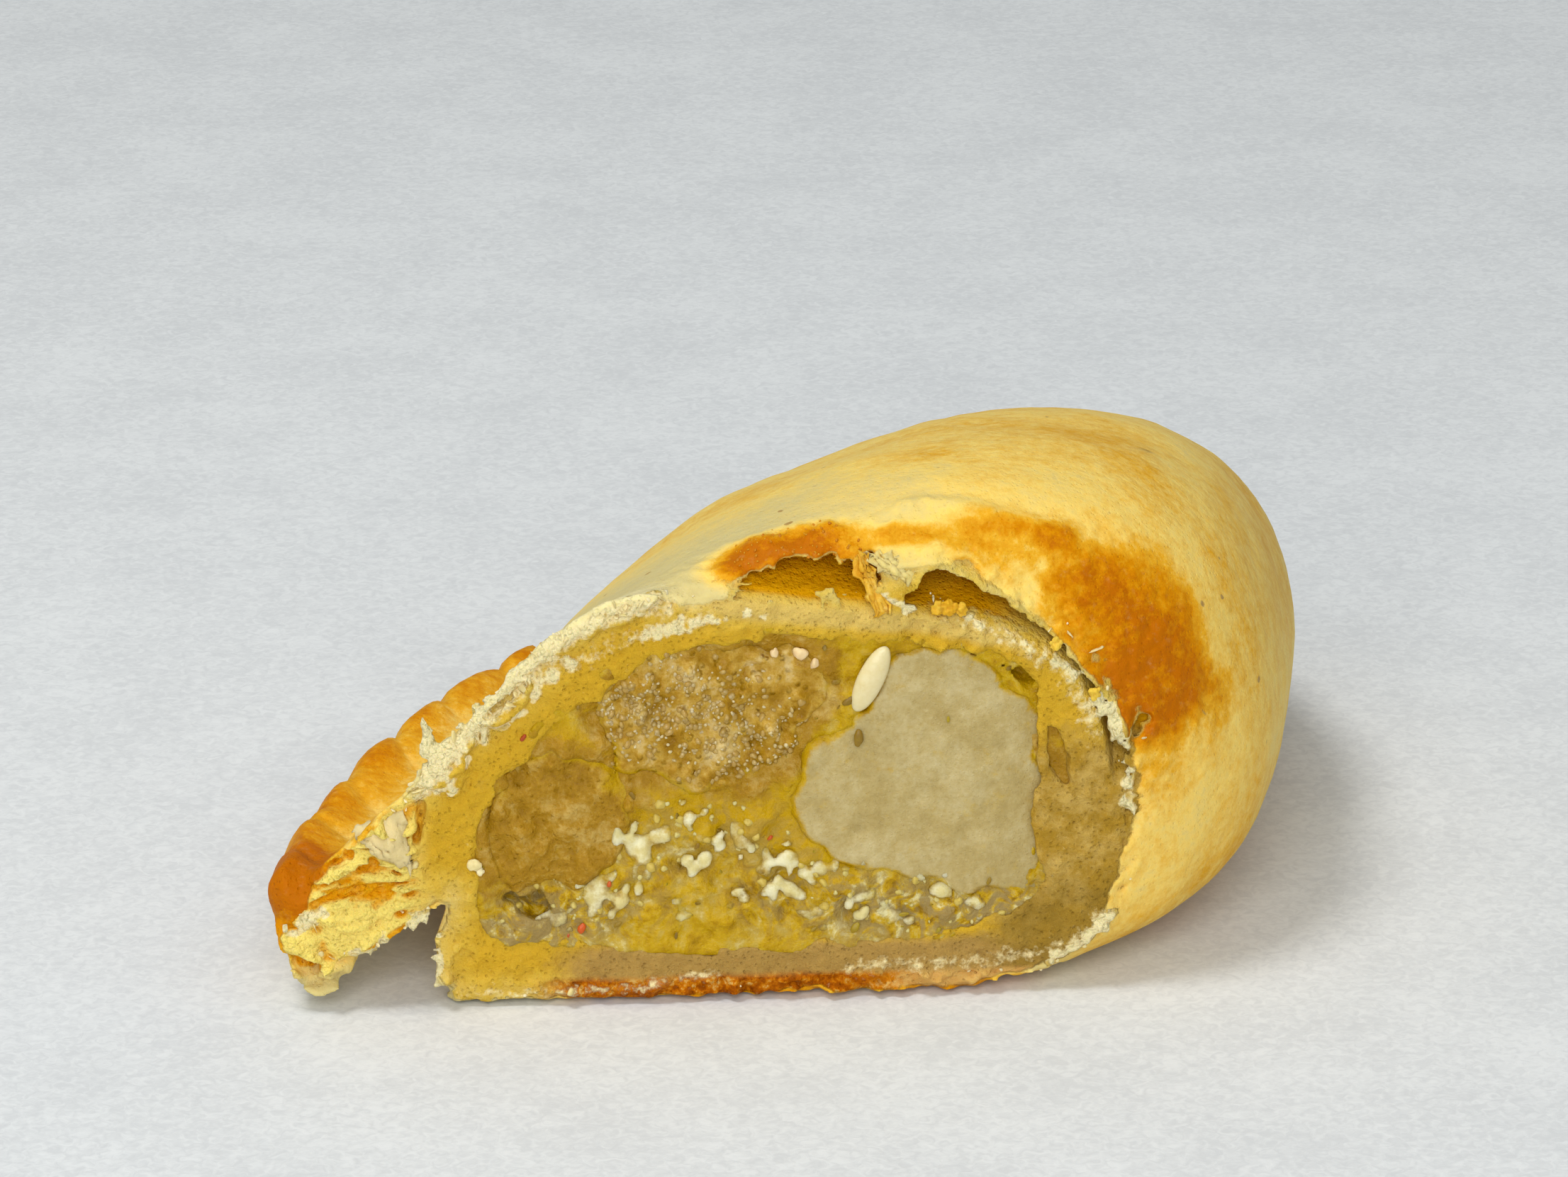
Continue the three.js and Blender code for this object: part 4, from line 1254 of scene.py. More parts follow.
def run_tree(name, tree, mesh, values):
    """Makes a plain mesh piece from a tree, with its inputs set by name."""
    piece = bpy.data.objects.new(name, mesh)
    bpy.context.collection.objects.link(piece)
    modifier = piece.modifiers.new("Crumbs", "NODES")
    modifier.node_group = tree
    for item in tree.interface.items_tree:
        if item.item_type == "SOCKET" and item.in_out == "INPUT" and item.name in values:
            modifier[item.identifier] = values[item.name]
    plain_mesh(piece)
    finish_with(piece, values["Material"])
    return piece


def crumb_values(size, length, flatness, lift, knobs, tumble, facets, seed, material):
    """The trees' inputs. size is (smallest, largest) and knobs is (height, grain), in mm."""
    return {
        "Smallest": size[0] * MM, "Largest": size[1] * MM, "Length": length, "Flatness": flatness,
        "Lift": lift, "Knobbliness": knobs[0] * MM, "Knob grain": 1 / (knobs[1] * MM),
        "Tumble": tumble, "Facets": facets, "Seed": seed, "Material": material,
    }


def host_points(name, spots):
    """A mesh of loose points from [x, y, z, size, turn in degrees] spots."""
    spots = np.array(spots, float)
    mesh = bpy.data.meshes.new(name)
    mesh.from_pydata([tuple(p) for p in to_part(spots[:, :3])], [], [])
    for column, (label, unit) in enumerate([("size", MM), ("turn", math.pi / 180)]):
        attribute = mesh.attributes.new(label, "FLOAT", "POINT")
        attribute.data.foreach_set("value", (spots[:, 3 + column] * unit).astype(np.float32))
    return mesh


# ------------------------------------------------------------------ torn flaps and flakes of skin

SHEET_STEPS = (26, 18)
SHEET_THICKNESS = 0.4
SHEET_GRAINS = 9  # how many swings of its edge there are along each side

# Four corners [x, y, z] in turn round each flap, how ragged its edges are, how far it bows
# forward and how browned it is
TORN_SHEETS = [
    # The white flap in the crimp
    ([(-7.2, 0.3, 14.5), (-3.3, 0.4, 16.1), (-2.7, -0.7, 11.3), (-5.6, -0.6, 12.9)], 0.22, 0.6, -0.1),
    # The orange strip that hangs across the blister
    ([(30.3, 0.9, 35.0), (31.5, 0.8, 35.0), (33.0, -0.3, 30.9), (31.9, -0.4, 30.6)], 0.22, -0.2, 0.5),
    ([(31.2, 1.0, 35.2), (33.6, 0.9, 35.0), (35.2, 0.1, 33.2), (33.2, 0.2, 33.4)], 0.25, 0.2, 0.10),
]


def torn_sheet(corners, ragged, bow, seed):
    """Points and faces of one thin flap between four corners, thicker in its middle."""
    across, down = SHEET_STEPS
    draw = np.random.default_rng(seed)
    u, v = np.meshgrid(np.linspace(0, 1, across), np.linspace(0, 1, down), indexing="ij")
    steps = [np.linspace(0, SHEET_GRAINS, count) for count in SHEET_STEPS]
    wander = [lattice_noise(steps, 1.0, seed * 7 + k) for k in range(4)]
    a, b, c, d = (np.array(corner)[None, None] for corner in corners)
    u2, v2 = u[..., None], v[..., None]
    points = lerp(lerp(a, b, u2), lerp(d, c, u2), v2)
    rim = np.clip(1 - 4 * np.minimum(np.minimum(u, 1 - u), np.minimum(v, 1 - v)), 0, 1)
    tear = np.stack([wander[0], 0.4 * wander[1], wander[2]], -1)
    points = points + tear * (rim * ragged)[..., None]
    points[..., 1] += 0.12 * wander[3] - bow * np.sin(np.pi * v) * np.sin(np.pi * u)
    along_u, along_v = np.gradient(points, axis=0), np.gradient(points, axis=1)
    normal = np.cross(along_u, along_v)
    normal /= np.linalg.norm(normal, axis=-1, keepdims=True) + 1e-9
    half = SHEET_THICKNESS / 2 * (1.1 - 0.75 * rim) * draw.uniform(0.8, 1.2)
    front, back = points - normal * half[..., None], points + normal * half[..., None]
    index = np.arange(across * down).reshape(across, down)
    cells = np.stack([index[:-1, :-1], index[1:, :-1], index[1:, 1:], index[:-1, 1:]], -1)
    cells = cells.reshape(-1, 4)
    border = np.concatenate([index[:, 0], index[-1, 1:], index[-2::-1, -1], index[0, -2:0:-1]])
    beside = np.roll(border, -1)
    count = across * down
    walls = np.stack([beside, border, border + count, beside + count], -1)
    faces = np.concatenate([cells[:, ::-1], cells + count, walls[:, ::-1]])
    return np.concatenate([front.reshape(-1, 3), back.reshape(-1, 3)]), faces


def torn_flaps():
    """All the torn flaps as one piece, with how browned each is."""
    points, faces, brown = [], [], []
    for seed, (corners, ragged, bow, tone) in enumerate(TORN_SHEETS, start=1):
        sheet, quads = torn_sheet(corners, ragged, bow, seed)
        faces.append(quads + sum(len(p) for p in points))
        points.append(sheet)
        brown.append(np.full(len(sheet), tone))
    piece = quad_mesh("torn_flaps", to_part(np.concatenate(points)), np.concatenate(faces))
    store(piece, "browning", np.concatenate(brown))
    return piece


# ------------------------------------------------------------------ finishes

# Colours as they look on the food, red, green and blue out of 255
SKIN_TONES = [(0.0, (212, 194, 130)), (0.22, (243, 208, 108)), (0.45, (228, 168, 36)),
              (0.7, (210, 136, 0)), (1.0, (186, 104, 0))]
DOUGH_TONES = [(0.0, (228, 204, 126)), (0.3, (222, 188, 88)), (0.6, (218, 180, 66)),
               (1.0, (210, 166, 42))]
LEDGE_CREAM = (218, 186, 98)
LOW_DOUGH = (178, 142, 74)
# The painted shade on the dough low on the right of the cut
SHADED_DOUGH = (150, 118, 42)
OLIVE_DOUGH = (172, 134, 42)
OLIVE_PALE = (200, 166, 86)
TOASTED_TONES = [(0.0, (218, 176, 100)), (0.35, (202, 126, 14)), (0.7, (182, 98, 0)),
                 (1.0, (150, 76, 0))]
PASTE_TONES = [(0.0, (140, 104, 0)), (0.28, (178, 138, 0)), (0.5, (196, 158, 14)), (0.72, (198, 168, 70)),
               (1.0, (226, 212, 150))]
MILKY_PASTE = (156, 132, 76)
OILY_PASTE = (192, 152, 0)
POTATO_TONES = [(0.0, (156, 132, 70)), (0.45, (182, 161, 104)), (1.0, (214, 200, 154))]
BROWN_POTATO_TONES = [(0.0, (138, 98, 0)), (0.35, (166, 124, 22)), (0.6, (190, 152, 60)),
                      (1.0, (224, 202, 146))]
OLIVE_POTATO_TONES = [(0.0, (138, 98, 0)), (0.5, (170, 128, 26)), (1.0, (206, 176, 100))]
FLAKE_WHITE = (250, 232, 176)
# FLAKE_GOLD and CRIMP_GOLD are painted where the crumb lies back: partly its own colour, partly painted
# shade
FLAKE_GOLD = (218, 188, 96)
FLAP_WHITE = (222, 198, 142)
SKIN_SPECK = (176, 140, 78)
SKIN_CHALK = (238, 222, 162)
BLISTER_BACK = (218, 154, 0)
CRIMP_GOLD = (236, 166, 12)
CRIMP_PALE = (254, 224, 116)
CHEESE_WHITE = (242, 230, 184)
CHEESE_CREAM = (218, 200, 136)
SEED_CREAM = (226, 212, 164)
HERB_GREEN = (158, 134, 10)
HERB_DARK = (128, 98, 16)
CHILLI_RED = (200, 84, 16)
PAPER_WHITE = (230, 232, 232)
PAPER_SHADE = (214, 216, 217)


def linear(colour, gain=1.0):
    """A colour out of 255 as the shaders' linear RGBA."""
    parts = [part / 255 for part in colour]
    parts = [part / 12.92 if part <= 0.04045 else ((part + 0.055) / 1.055) ** 2.4 for part in parts]
    return tuple(min(1.0, part * gain) for part in parts) + (1.0,)


def tone_ramp(tree, share, tones):
    """A colour from a share, through [place, colour] tones."""
    node = add(tree, "ShaderNodeValToRGB", {"Fac": share})
    stops = node.color_ramp.elements
    for place, colour in tones[1:-1]:
        stops.new(place)
    for stop, (place, colour) in zip(stops, tones):
        stop.position, stop.color = place, linear(colour)
    return node.outputs[0]


def mixed(tree, share, a, b):
    """Two colours mixed by a share. A colour is a socket or numbers out of 255."""
    node = tree.nodes.new("ShaderNodeMix")
    node.data_type = "RGBA"
    tree.links.new(share, node.inputs[0])
    for k, colour in ((6, a), (7, b)):
        if isinstance(colour, bpy.types.NodeSocket):
            tree.links.new(colour, node.inputs[k])
        else:
            node.inputs[k].default_value = linear(colour)
    return node.outputs[2]


def stored(tree, name):
    """A number that the piece keeps on its vertices."""
    return add(tree, "ShaderNodeAttribute", attribute_name=name).outputs["Fac"]


def between(tree, value, low, high):
    """A smooth share: 0 at low, 1 at high."""
    node = add(tree, "ShaderNodeMapRange", {0: value, 1: low, 2: high}, interpolation_type="SMOOTHSTEP")
    return node.outputs[0]


def place_of(tree):
    """Where on the piece a point is."""
    return add(tree, "ShaderNodeTexCoord").outputs["Object"]


def noise(tree, where, grain, detail=5.0, roughness=0.62, twist=0.0):
    """Noise from 0 to 1 with grains of so many millimetres."""
    node = add(tree, "ShaderNodeTexNoise", {
        "Vector": where,
        "Scale": 1 / (grain * MM),
        "Detail": detail,
        "Roughness": roughness,
        "Distortion": twist,
    })
    return node.outputs["Fac"]


def grain_group():
    """Fine crumb: a height for bump and a mottle around 0 for colour, from a place."""
    group = bpy.data.node_groups.new("Crumb grain", "ShaderNodeTree")
    socket(group, "Place", "Vector")
    socket(group, "Grains per metre", "Float")
    socket(group, "Pits", "Float")
    socket(group, "Height", "Float", "OUTPUT")
    socket(group, "Mottle", "Float", "OUTPUT")
    given = add(group, "NodeGroupInput").outputs
    fine = add(group, "ShaderNodeTexNoise", {
        "Vector": given["Place"], "Scale": given["Grains per metre"], "Detail": 4.0, "Roughness": 0.62,
    }).outputs["Fac"]
    coarse_scale = times(group, given["Grains per metre"], 0.23)
    coarse = add(group, "ShaderNodeTexNoise", {
        "Vector": given["Place"], "Scale": coarse_scale, "Detail": 2.0,
    }).outputs["Fac"]
    cells = add(group, "ShaderNodeTexVoronoi", {
        "Vector": given["Place"], "Scale": given["Grains per metre"],
    })
    pits = times(group, between(group, cells.outputs["Distance"], 0.32, 0.0), given["Pits"])
    height = minus(group, plus(group, fine, coarse), pits)
    mottle = minus(group, plus(group, fine, coarse), 1.0)
    out = add(group, "NodeGroupOutput")
    group.links.new(height, out.inputs["Height"])
    group.links.new(mottle, out.inputs["Mottle"])
    return group


def browning_group():
    """The oven's colour on dough: pale through gold to brown, patchy, with darker fine spots."""
    group = bpy.data.node_groups.new("Oven browning", "ShaderNodeTree")
    socket(group, "Place", "Vector")
    socket(group, "Browning", "Float")
    socket(group, "Patchiness", "Float")
    socket(group, "Colour", "Color", "OUTPUT")
    given = add(group, "NodeGroupInput").outputs
    broad = minus(group, noise(group, given["Place"], 7.0, 2.0), 0.5)
    close = minus(group, noise(group, given["Place"], 1.0, 6.0, 0.75), 0.5)
    uneven = times(group, plus(group, broad, times(group, close, 1.8)), given["Patchiness"])
    strength = plus(group, times(group, given["Browning"], 1.3), 0.16)
    share = plus(group, given["Browning"], times(group, uneven, strength))
    out = add(group, "NodeGroupOutput")
    group.links.new(tone_ramp(group, share, SKIN_TONES), out.inputs["Colour"])
    return group


def paste_group():
    """The herb paste's colour: olive through yellow, oily in places and milky near the cheese."""
    group = bpy.data.node_groups.new("Paste colour", "ShaderNodeTree")
    socket(group, "Place", "Vector")
    socket(group, "Oily", "Float")
    socket(group, "Milky", "Float")
    socket(group, "Colour", "Color", "OUTPUT")
    given = add(group, "NodeGroupInput").outputs
    where = given["Place"]

    def swing(grain, reach, twist=0.0):
        """Noise around 0, with its grain in millimetres."""
        return times(group, minus(group, noise(group, where, grain, 5.0, 0.6, twist), 0.5), reach)

    share = plus(group, plus(group, swing(3.0, 1.4, 0.8), swing(0.8, 0.9)), 0.42)
    milky = times(group, given["Milky"], plus(group, swing(1.8, 3.0, 1.6), 0.14))
    colour = tone_ramp(group, plus(group, share, milky), PASTE_TONES)
    oily = between(group, plus(group, given["Oily"], swing(1.7, 1.6)), 0.1, 1.0)
    colour = mixed(group, oily, colour, OILY_PASTE)
    cloudy = times(group, between(group, swing(2.4, 1.0, 1.8), -0.09, 0.08), given["Milky"])
    dull = mixed(group, times(group, cloudy, 0.85), colour, MILKY_PASTE)
    out = add(group, "NodeGroupOutput")
    group.links.new(dull, out.inputs["Colour"])
    return group


GRAIN = grain_group()
BROWNING = browning_group()
PASTE = paste_group()


def grouped(tree, group, inputs):
    """Places a node group with its own inputs, and gives its outputs."""
    node = tree.nodes.new("ShaderNodeGroup")
    node.node_tree = group
    for name, value in inputs.items():
        if isinstance(value, bpy.types.NodeSocket):
            tree.links.new(value, node.inputs[name])
        else:
            node.inputs[name].default_value = value
    return node.outputs


def new_material(name, **sockets):
    """A material with its tree and its Principled shader, whose even values are set here."""
    material = bpy.data.materials.new(name)
    material.use_nodes = True
    tree = material.node_tree
    shader = tree.nodes["Principled BSDF"]
    for label, value in sockets.items():
        shader.inputs[label.replace("_", " ")].default_value = value
    return material, tree, shader


# How light spreads under the surface of cheese, and of everything else
MILKY_LIGHT = {
    "Subsurface_Weight": 0.55, "Subsurface_Radius": (1.0, 0.9, 0.6), "Subsurface_Scale": 0.002,
}
SOFT_LIGHT = {
    "Subsurface_Weight": 0.3, "Subsurface_Radius": (1.0, 0.78, 0.4), "Subsurface_Scale": 0.0014,
}
HOLLOW_PITCH = 0.42  # between the hollows in flaky crumb, in millimetres
CRUMB_GRAIN = 2400.0  # grains per metre in the pastry


def emboss(tree, shader, height, strength, distance):
    """Gives a shader its fine relief. distance is its height in millimetres."""
    node = add(tree, "ShaderNodeBump", {"Height": height, "Strength": strength, "Distance": distance * MM})
    tree.links.new(node.outputs[0], shader.inputs["Normal"])


def skin_colour(tree, where, off_middle):
    """Browned skin with a few specks, chalky near the cut's edge."""
    skin = grouped(tree, BROWNING, {
        "Place": where, "Browning": stored(tree, "browning"), "Patchiness": 0.62,
    })["Colour"]
    specks = between(tree, noise(tree, where, 1.6, 1.0), 0.76, 0.80)
    skin = mixed(tree, specks, skin, SKIN_SPECK)
    chalky = plus(tree, stored(tree, "chalky"), off_middle)
    return mixed(tree, between(tree, chalky, 0.05, 0.95), skin, SKIN_CHALK)


def dough_colour(tree, where, depth):
    """Dough: palest just under the skin, with colours of its own in parts of the cut and painted shade low
    on its right.
    """
    patchy = times(tree, minus(tree, noise(tree, where, 1.9, 7.0, 0.7), 0.5), 4.6)
    in_dough = between(tree, plus(tree, depth, patchy), -0.8, 3.6)
    dough = tone_ramp(tree, in_dough, DOUGH_TONES)
    streaks = between(tree, noise(tree, where, 2.4, 7.0, 0.7), 0.38, 0.64)
    olive = mixed(tree, streaks, OLIVE_DOUGH, OLIVE_PALE)
    # Each zone has a colour of its own, except the shade zone, which is painted shade
    zones = {"low": LOW_DOUGH, "olive": olive, "shade": SHADED_DOUGH, "ledge": LEDGE_CREAM}
    edge = times(tree, patchy, 0.22)
    for zone, colour in zones.items():
        share = between(tree, plus(tree, stored(tree, zone), edge), 0.1, 0.9)
        dough = mixed(tree, share, dough, colour)
    return dough


def crust_material():
    """Baked skin outside, and inside it dough with its blister, toasted base and flakes."""
    material, tree, shader = new_material("Baked pastry", Specular_IOR_Level=0.05, **SOFT_LIGHT)
    where = place_of(tree)
    grain = grouped(tree, GRAIN, {"Place": where, "Grains per metre": CRUMB_GRAIN, "Pits": 0.6})
    close = noise(tree, where, 0.8, 4.0)
    off_middle = minus(tree, close, 0.5)
    skin = skin_colour(tree, where, off_middle)
    depth, white = stored(tree, "depth"), stored(tree, "flake")
    dough = dough_colour(tree, where, depth)
    # Where the crumb lies back from the cut, between the flaky layers, it is more golden: partly its own
    # colour, partly painted shade in the recesses
    recess_gold_and_shade = plus(tree, stored(tree, "recess_gold_and_shade"), times(tree, off_middle, 1.2))
    crimp = mixed(tree, between(tree, recess_gold_and_shade, 0.3, 1.05), CRIMP_PALE, CRIMP_GOLD)
    dough = mixed(tree, stored(tree, "crimp"), dough, crimp)
    dough = mixed(tree, stored(tree, "blister"), dough, BLISTER_BACK)
    scorch = times(tree, between(tree, close, 0.3, 0.62), stored(tree, "charred"))
    dough = mixed(tree, stored(tree, "toasted"), dough, tone_ramp(tree, scorch, TOASTED_TONES))
    crumbs = add(tree, "ShaderNodeTexVoronoi", {"Vector": where, "Scale": 1 / (HOLLOW_PITCH * MM)})
    hollow = between(tree, crumbs.outputs["Distance"], 0.25, 0.75)
    # The pits between the crumbs are painted golden too, as painted shade
    recess_gold_and_shade = plus(tree, recess_gold_and_shade, times(tree, hollow, 0.35))
    flake = mixed(tree, between(tree, recess_gold_and_shade, 0.5, 1.3), FLAKE_WHITE, FLAKE_GOLD)
    patchy_white = plus(tree, white, times(tree, off_middle, 2.0))
    dough = mixed(tree, between(tree, patchy_white, 0.28, 0.86), dough, flake)
    ragged = times(tree, off_middle, 0.5)
    inside = between(tree, plus(tree, depth, ragged), 0.28, 0.5)
    tree.links.new(mixed(tree, inside, skin, dough), shader.inputs["Base Color"])
    rough = plus(tree, times(tree, grain["Mottle"], 0.2), 0.5)
    tree.links.new(rough, shader.inputs["Roughness"])
    # The skin is smooth and faintly rippled, the crumb grainy and its flakes grainiest
    grainy = plus(tree, times(tree, inside, 0.8), 0.2)
    flaky = math_node(tree, "MAXIMUM", white, times(tree, stored(tree, "crimp"), 0.6))
    grainy = plus(tree, grainy, times(tree, flaky, 0.35))
    ripples = times(tree, noise(tree, where, 3.4, 3.0), 0.7)
    height = plus(tree, times(tree, grain["Height"], grainy), ripples)
    crumbly = times(tree, times(tree, flaky, inside), 0.6)
    height = minus(tree, height, times(tree, hollow, crumbly))
    emboss(tree, shader, height, 0.8, 0.5)
    return material


def flap_material():
    """Skin that tore off: browned or, where its browning is below 0, chalky."""
    material, tree, shader = new_material("Torn skin", Specular_IOR_Level=0.3, **SOFT_LIGHT)
    where = place_of(tree)
    grain = grouped(tree, GRAIN, {"Place": where, "Grains per metre": CRUMB_GRAIN, "Pits": 0.3})
    browning = stored(tree, "browning")
    skin = grouped(tree, BROWNING, {"Place": where, "Browning": browning, "Patchiness": 0.6})["Colour"]
    pale = between(tree, browning, 0.02, -0.15)
    colour = mixed(tree, pale, skin, FLAP_WHITE)
    tree.links.new(colour, shader.inputs["Base Color"])
    shader.inputs["Roughness"].default_value = 0.6
    emboss(tree, shader, grain["Height"], 0.5, 0.2)
    return material


def filling_material(name, tones, grain_size, contrast, roughness, pits, patch_size, coarse):
    """A moist cut surface: patchy colour through its tones, with fine grain. Where the stored
    smear is 1 it takes the paste's colour. coarse is how rough and mottled the grain is."""
    material, tree, shader = new_material(name, Specular_IOR_Level=0.16, **SOFT_LIGHT)
    where = place_of(tree)
    grain = grouped(tree, GRAIN, {"Place": where, "Grains per metre": 1 / (grain_size * MM), "Pits": pits})
    colour = grouped(tree, PASTE, {
        "Place": where, "Oily": stored(tree, "oily"), "Milky": stored(tree, "milky"),
    })["Colour"]
    patches = minus(tree, noise(tree, where, patch_size, 8.0, 0.72), 0.5)
    share = plus(tree, times(tree, patches, contrast), 0.5)
    share = plus(tree, share, times(tree, grain["Mottle"], 0.8 * coarse))
    uneven = times(tree, minus(tree, noise(tree, where, 1.2, 6.0, 0.7), 0.5), 2.4)
    smear = between(tree, plus(tree, stored(tree, "smear"), uneven), 0.1, 0.95)
    colour = mixed(tree, smear, tone_ramp(tree, share, tones), colour)
    tree.links.new(colour, shader.inputs["Base Color"])
    wet = plus(tree, times(tree, grain["Mottle"], 0.5), roughness)
    tree.links.new(wet, shader.inputs["Roughness"])
    emboss(tree, shader, grain["Height"], 0.7 * coarse, 0.4)
    return material


# The filling and each potato: the material's name, its tones, its grain in mm, its contrast,
# roughness and pits, the size of its patches in mm and how coarse it is
FILLING_LOOKS = {
    "filling": ("Herb paste", OLIVE_POTATO_TONES, 0.5, 1.5, 0.32, 0.2, 3.0, 1.0),
    "potato_right": ("Pale potato", POTATO_TONES, 0.32, 1.2, 0.32, -0.8, 3.4, 0.5),
    "potato_top": ("Brown potato", BROWN_POTATO_TONES, 0.85, 2.1, 0.36, -1.3, 2.4, 1.0),
    "potato_left": ("Olive potato", OLIVE_POTATO_TONES, 0.5, 1.9, 0.4, -0.5, 2.4, 1.0),
}


def cheese_material():
    """Cream-white cheese, taking the paste's colour where it sinks into it."""
    look = {"Roughness": 0.4, "Specular_IOR_Level": 0.25} | MILKY_LIGHT
    material, tree, shader = new_material("White cheese", **look)
    where = place_of(tree)
    uneven = times(tree, minus(tree, noise(tree, where, 0.8), 0.5), 1.3)
    raised = plus(tree, stored(tree, "raised"), uneven)
    paste = grouped(tree, PASTE, {
        "Place": where, "Oily": stored(tree, "oily"), "Milky": stored(tree, "milky"),
    })["Colour"]
    curd = mixed(tree, between(tree, noise(tree, where, 1.3), 0.40, 0.66), CHEESE_CREAM, CHEESE_WHITE)
    colour = mixed(tree, between(tree, raised, -0.1, 0.5), paste, curd)
    tree.links.new(colour, shader.inputs["Base Color"])
    emboss(tree, shader, noise(tree, where, 0.5), 0.5, 0.3)
    return material


def bit_material(name, colour, other, roughness, shine):
    """A crumb's colour, mixed towards another from bit to bit and within each."""
    look = {"Roughness": roughness, "Specular_IOR_Level": shine} | SOFT_LIGHT
    material, tree, shader = new_material(name, **look)
    where = place_of(tree)
    within = minus(tree, noise(tree, where, 0.7), 0.5)
    share = plus(tree, stored(tree, "tint"), within)
    tree.links.new(mixed(tree, between(tree, share, 0.1, 0.9), colour, other), shader.inputs["Base Color"])
    emboss(tree, shader, noise(tree, where, 0.35), 0.3, 0.15)
    return material


# ------------------------------------------------------------------ what is strewn and placed

# Where the crumbs fall thickest, as chains of [x, z]
GRAINY_HEART = [(13, 23.5), (17, 24), (21, 22), (24, 19)]
UPPER_SLOPE = [(-3, 17), (0.7, 21.8), (7.8, 29.2), (15, 33)]
CRIMP_MIDDLE = [(-9, 6), (-7, 7), (-4, 9)]
BOTTOM_EDGE = [(1.5, 0.9), (36, 0.9), (46, 2.4)]
TORN_LIP = [(33.6, 33.6), (37.6, 34.4), (41.5, 32), (45.5, 29.6), (48.5, 25), (51.3, 20)]
BUBBLY_CREST = ((25, 2, 35.6), (8.5, 3.5, 2.6))  # its middle and its reach

# Single crumbs as [x, y, z, size, turn in degrees]
SEED_SPOTS = [(31.6, -0.1, 25.6, 5.6, 24)]
HERB_SPOTS = [(30.0, -0.1, 23.9, 1.2, 60), (30.7, -0.1, 20.9, 1.4, 5), (9.8, -0.1, 23.9, 0.5, 20),
              (37.4, -0.1, 22.2, 0.5, 0), (24.2, 0.1, 4.6, 0.8, 70), (30.5, 0.1, 5.4, 1.0, 30),
              (17.0, 0.1, 5.2, 0.6, 10), (34.2, 0.1, 6.4, 0.8, 80), (27.4, 0.1, 5.4, 0.6, 50),
              (40.6, 0.0, 9.0, 0.7, 20), (21.0, 0.1, 6.4, 0.6, 0), (12.6, 0.1, 6.2, 0.7, 60),
              (36.8, 0.1, 5.0, 0.6, 40), (18.6, 0.1, 12.4, 0.6, 30), (29.0, 0.0, 25.4, 0.7, 80)]
CHILLI_SPOTS = [(5.7, -0.1, 21.6, 0.6, 35), (9.9, 0.1, 6.0, 0.9, 20), (12.0, 0.2, 9.5, 0.5, 10),
                (24.1, 0.2, 12.9, 0.5, 60), (8.9, 0.3, 5.3, 0.5, 0)]
PINK_SPOTS = [(26.4, 0.0, 27.8, 1.2, 80), (27.4, 0.1, 26.9, 0.9, 30), (24.4, 0.1, 27.9, 0.8, 10)]
ORANGE_CRUMBS = [(36.6, 0.1, 30.9, 1.1, 30), (37.4, 0.0, 31.1, 1.3, -20), (38.3, 0.1, 30.8, 0.9, 60),
                 (45.4, 0.0, 28.0, 0.9, 80), (48.4, 0.0, 23.9, 1.0, 40)]
WHITE_CRUMBS = [(1.9, -0.1, 11.5, 1.0, 10), (2.4, -0.1, 11.0, 0.6, 60), (-2.6, -0.2, 11.6, 0.6, 30)]


def faces_front(piece):
    """1 where a vertex looks towards the cut's front, 0 where it looks back or down."""
    normals = np.empty(len(piece.data.vertices) * 3, np.float32)
    piece.data.vertices.foreach_get("normal", normals)
    normals = normals.reshape(-1, 3)
    return ramp(-normals[:, 1], 0.1, 0.6)


def store_zones(pieces):
    """Where each kind of crumb falls, as a number from 0 to 1 on the pieces' vertices."""
    paste, brown_potato, crust = pieces["filling"], pieces["potato_top"], pieces["crust"]
    points = points_of(paste)
    shown = faces_front(paste) * ramp(points[:, 1], 4, 2.5)
    arc = near_line(points, CHEESE_ARC, 4.2)
    store(paste, "cheese_zone", arc * shown)
    store(paste, "herb_zone", shown * ramp(points[:, 2], 2, 5))
    points = points_of(brown_potato)
    heart = near_line(points, GRAINY_HEART, 6.0)
    store(brown_potato, "grain_zone", heart * faces_front(brown_potato) * ramp(points[:, 1], 2, 1))
    points = points_of(crust)
    y, z = points[:, 1], points[:, 2]
    depth = np.empty(len(points), np.float32)
    crust.data.attributes["depth"].data.foreach_get("value", depth)
    cut = ramp(y, 1.6, 1.0) * faces_front(crust)
    edge = cut * ramp(depth, 2.2, 0.2)
    upper = near_line(points, UPPER_SLOPE, 2.6)
    crimp = near_line(points, CRIMP_MIDDLE, 4.0)
    base = near_line(points, BOTTOM_EDGE, 1.8) * ramp(z, 0.3, 0.7)
    lip = near_line(points, TORN_LIP, 1.6)
    store(crust, "flake_zone", np.clip(upper + 0.5 * crimp + 0.08 * lip, 0, 1) * edge)
    store(crust, "crumb_zone", np.clip(0.1 * base + 0.09 * lip + 0.4 * crimp + 0.03, 0, 1) * edge)
    crest = patch(points, *BUBBLY_CREST)
    store(crust, "bubble_zone", np.clip(2 * crest, 0, 1) * ramp(z, 33.4, 34.2))


# Each crumb's material: two colours that it varies between, its roughness and its shine
BIT_FINISHES = {
    "Small cheese": ((216, 200, 128), (200, 172, 78), 0.45, 0.4),
    "Green herb": (HERB_GREEN, HERB_DARK, 0.45, 0.4),
    "Red pepper": (CHILLI_RED, (166, 66, 16), 0.35, 0.4),
    "Pink cheese": ((226, 190, 138), (238, 214, 166), 0.4, 0.4),
    "Pale seed": (SEED_CREAM, (214, 194, 134), 0.25, 0.6),
    "White crumb": (FLAKE_WHITE, (226, 204, 140), 0.65, 0.25),
    "Browned crumb": ((232, 190, 66), (218, 160, 26), 0.55, 0.2),
    "Potato grain": ((218, 196, 142), (176, 140, 66), 0.24, 0.5),
    "Toasted bubble": ((218, 150, 24), (196, 116, 4), 0.5, 0.3),
}
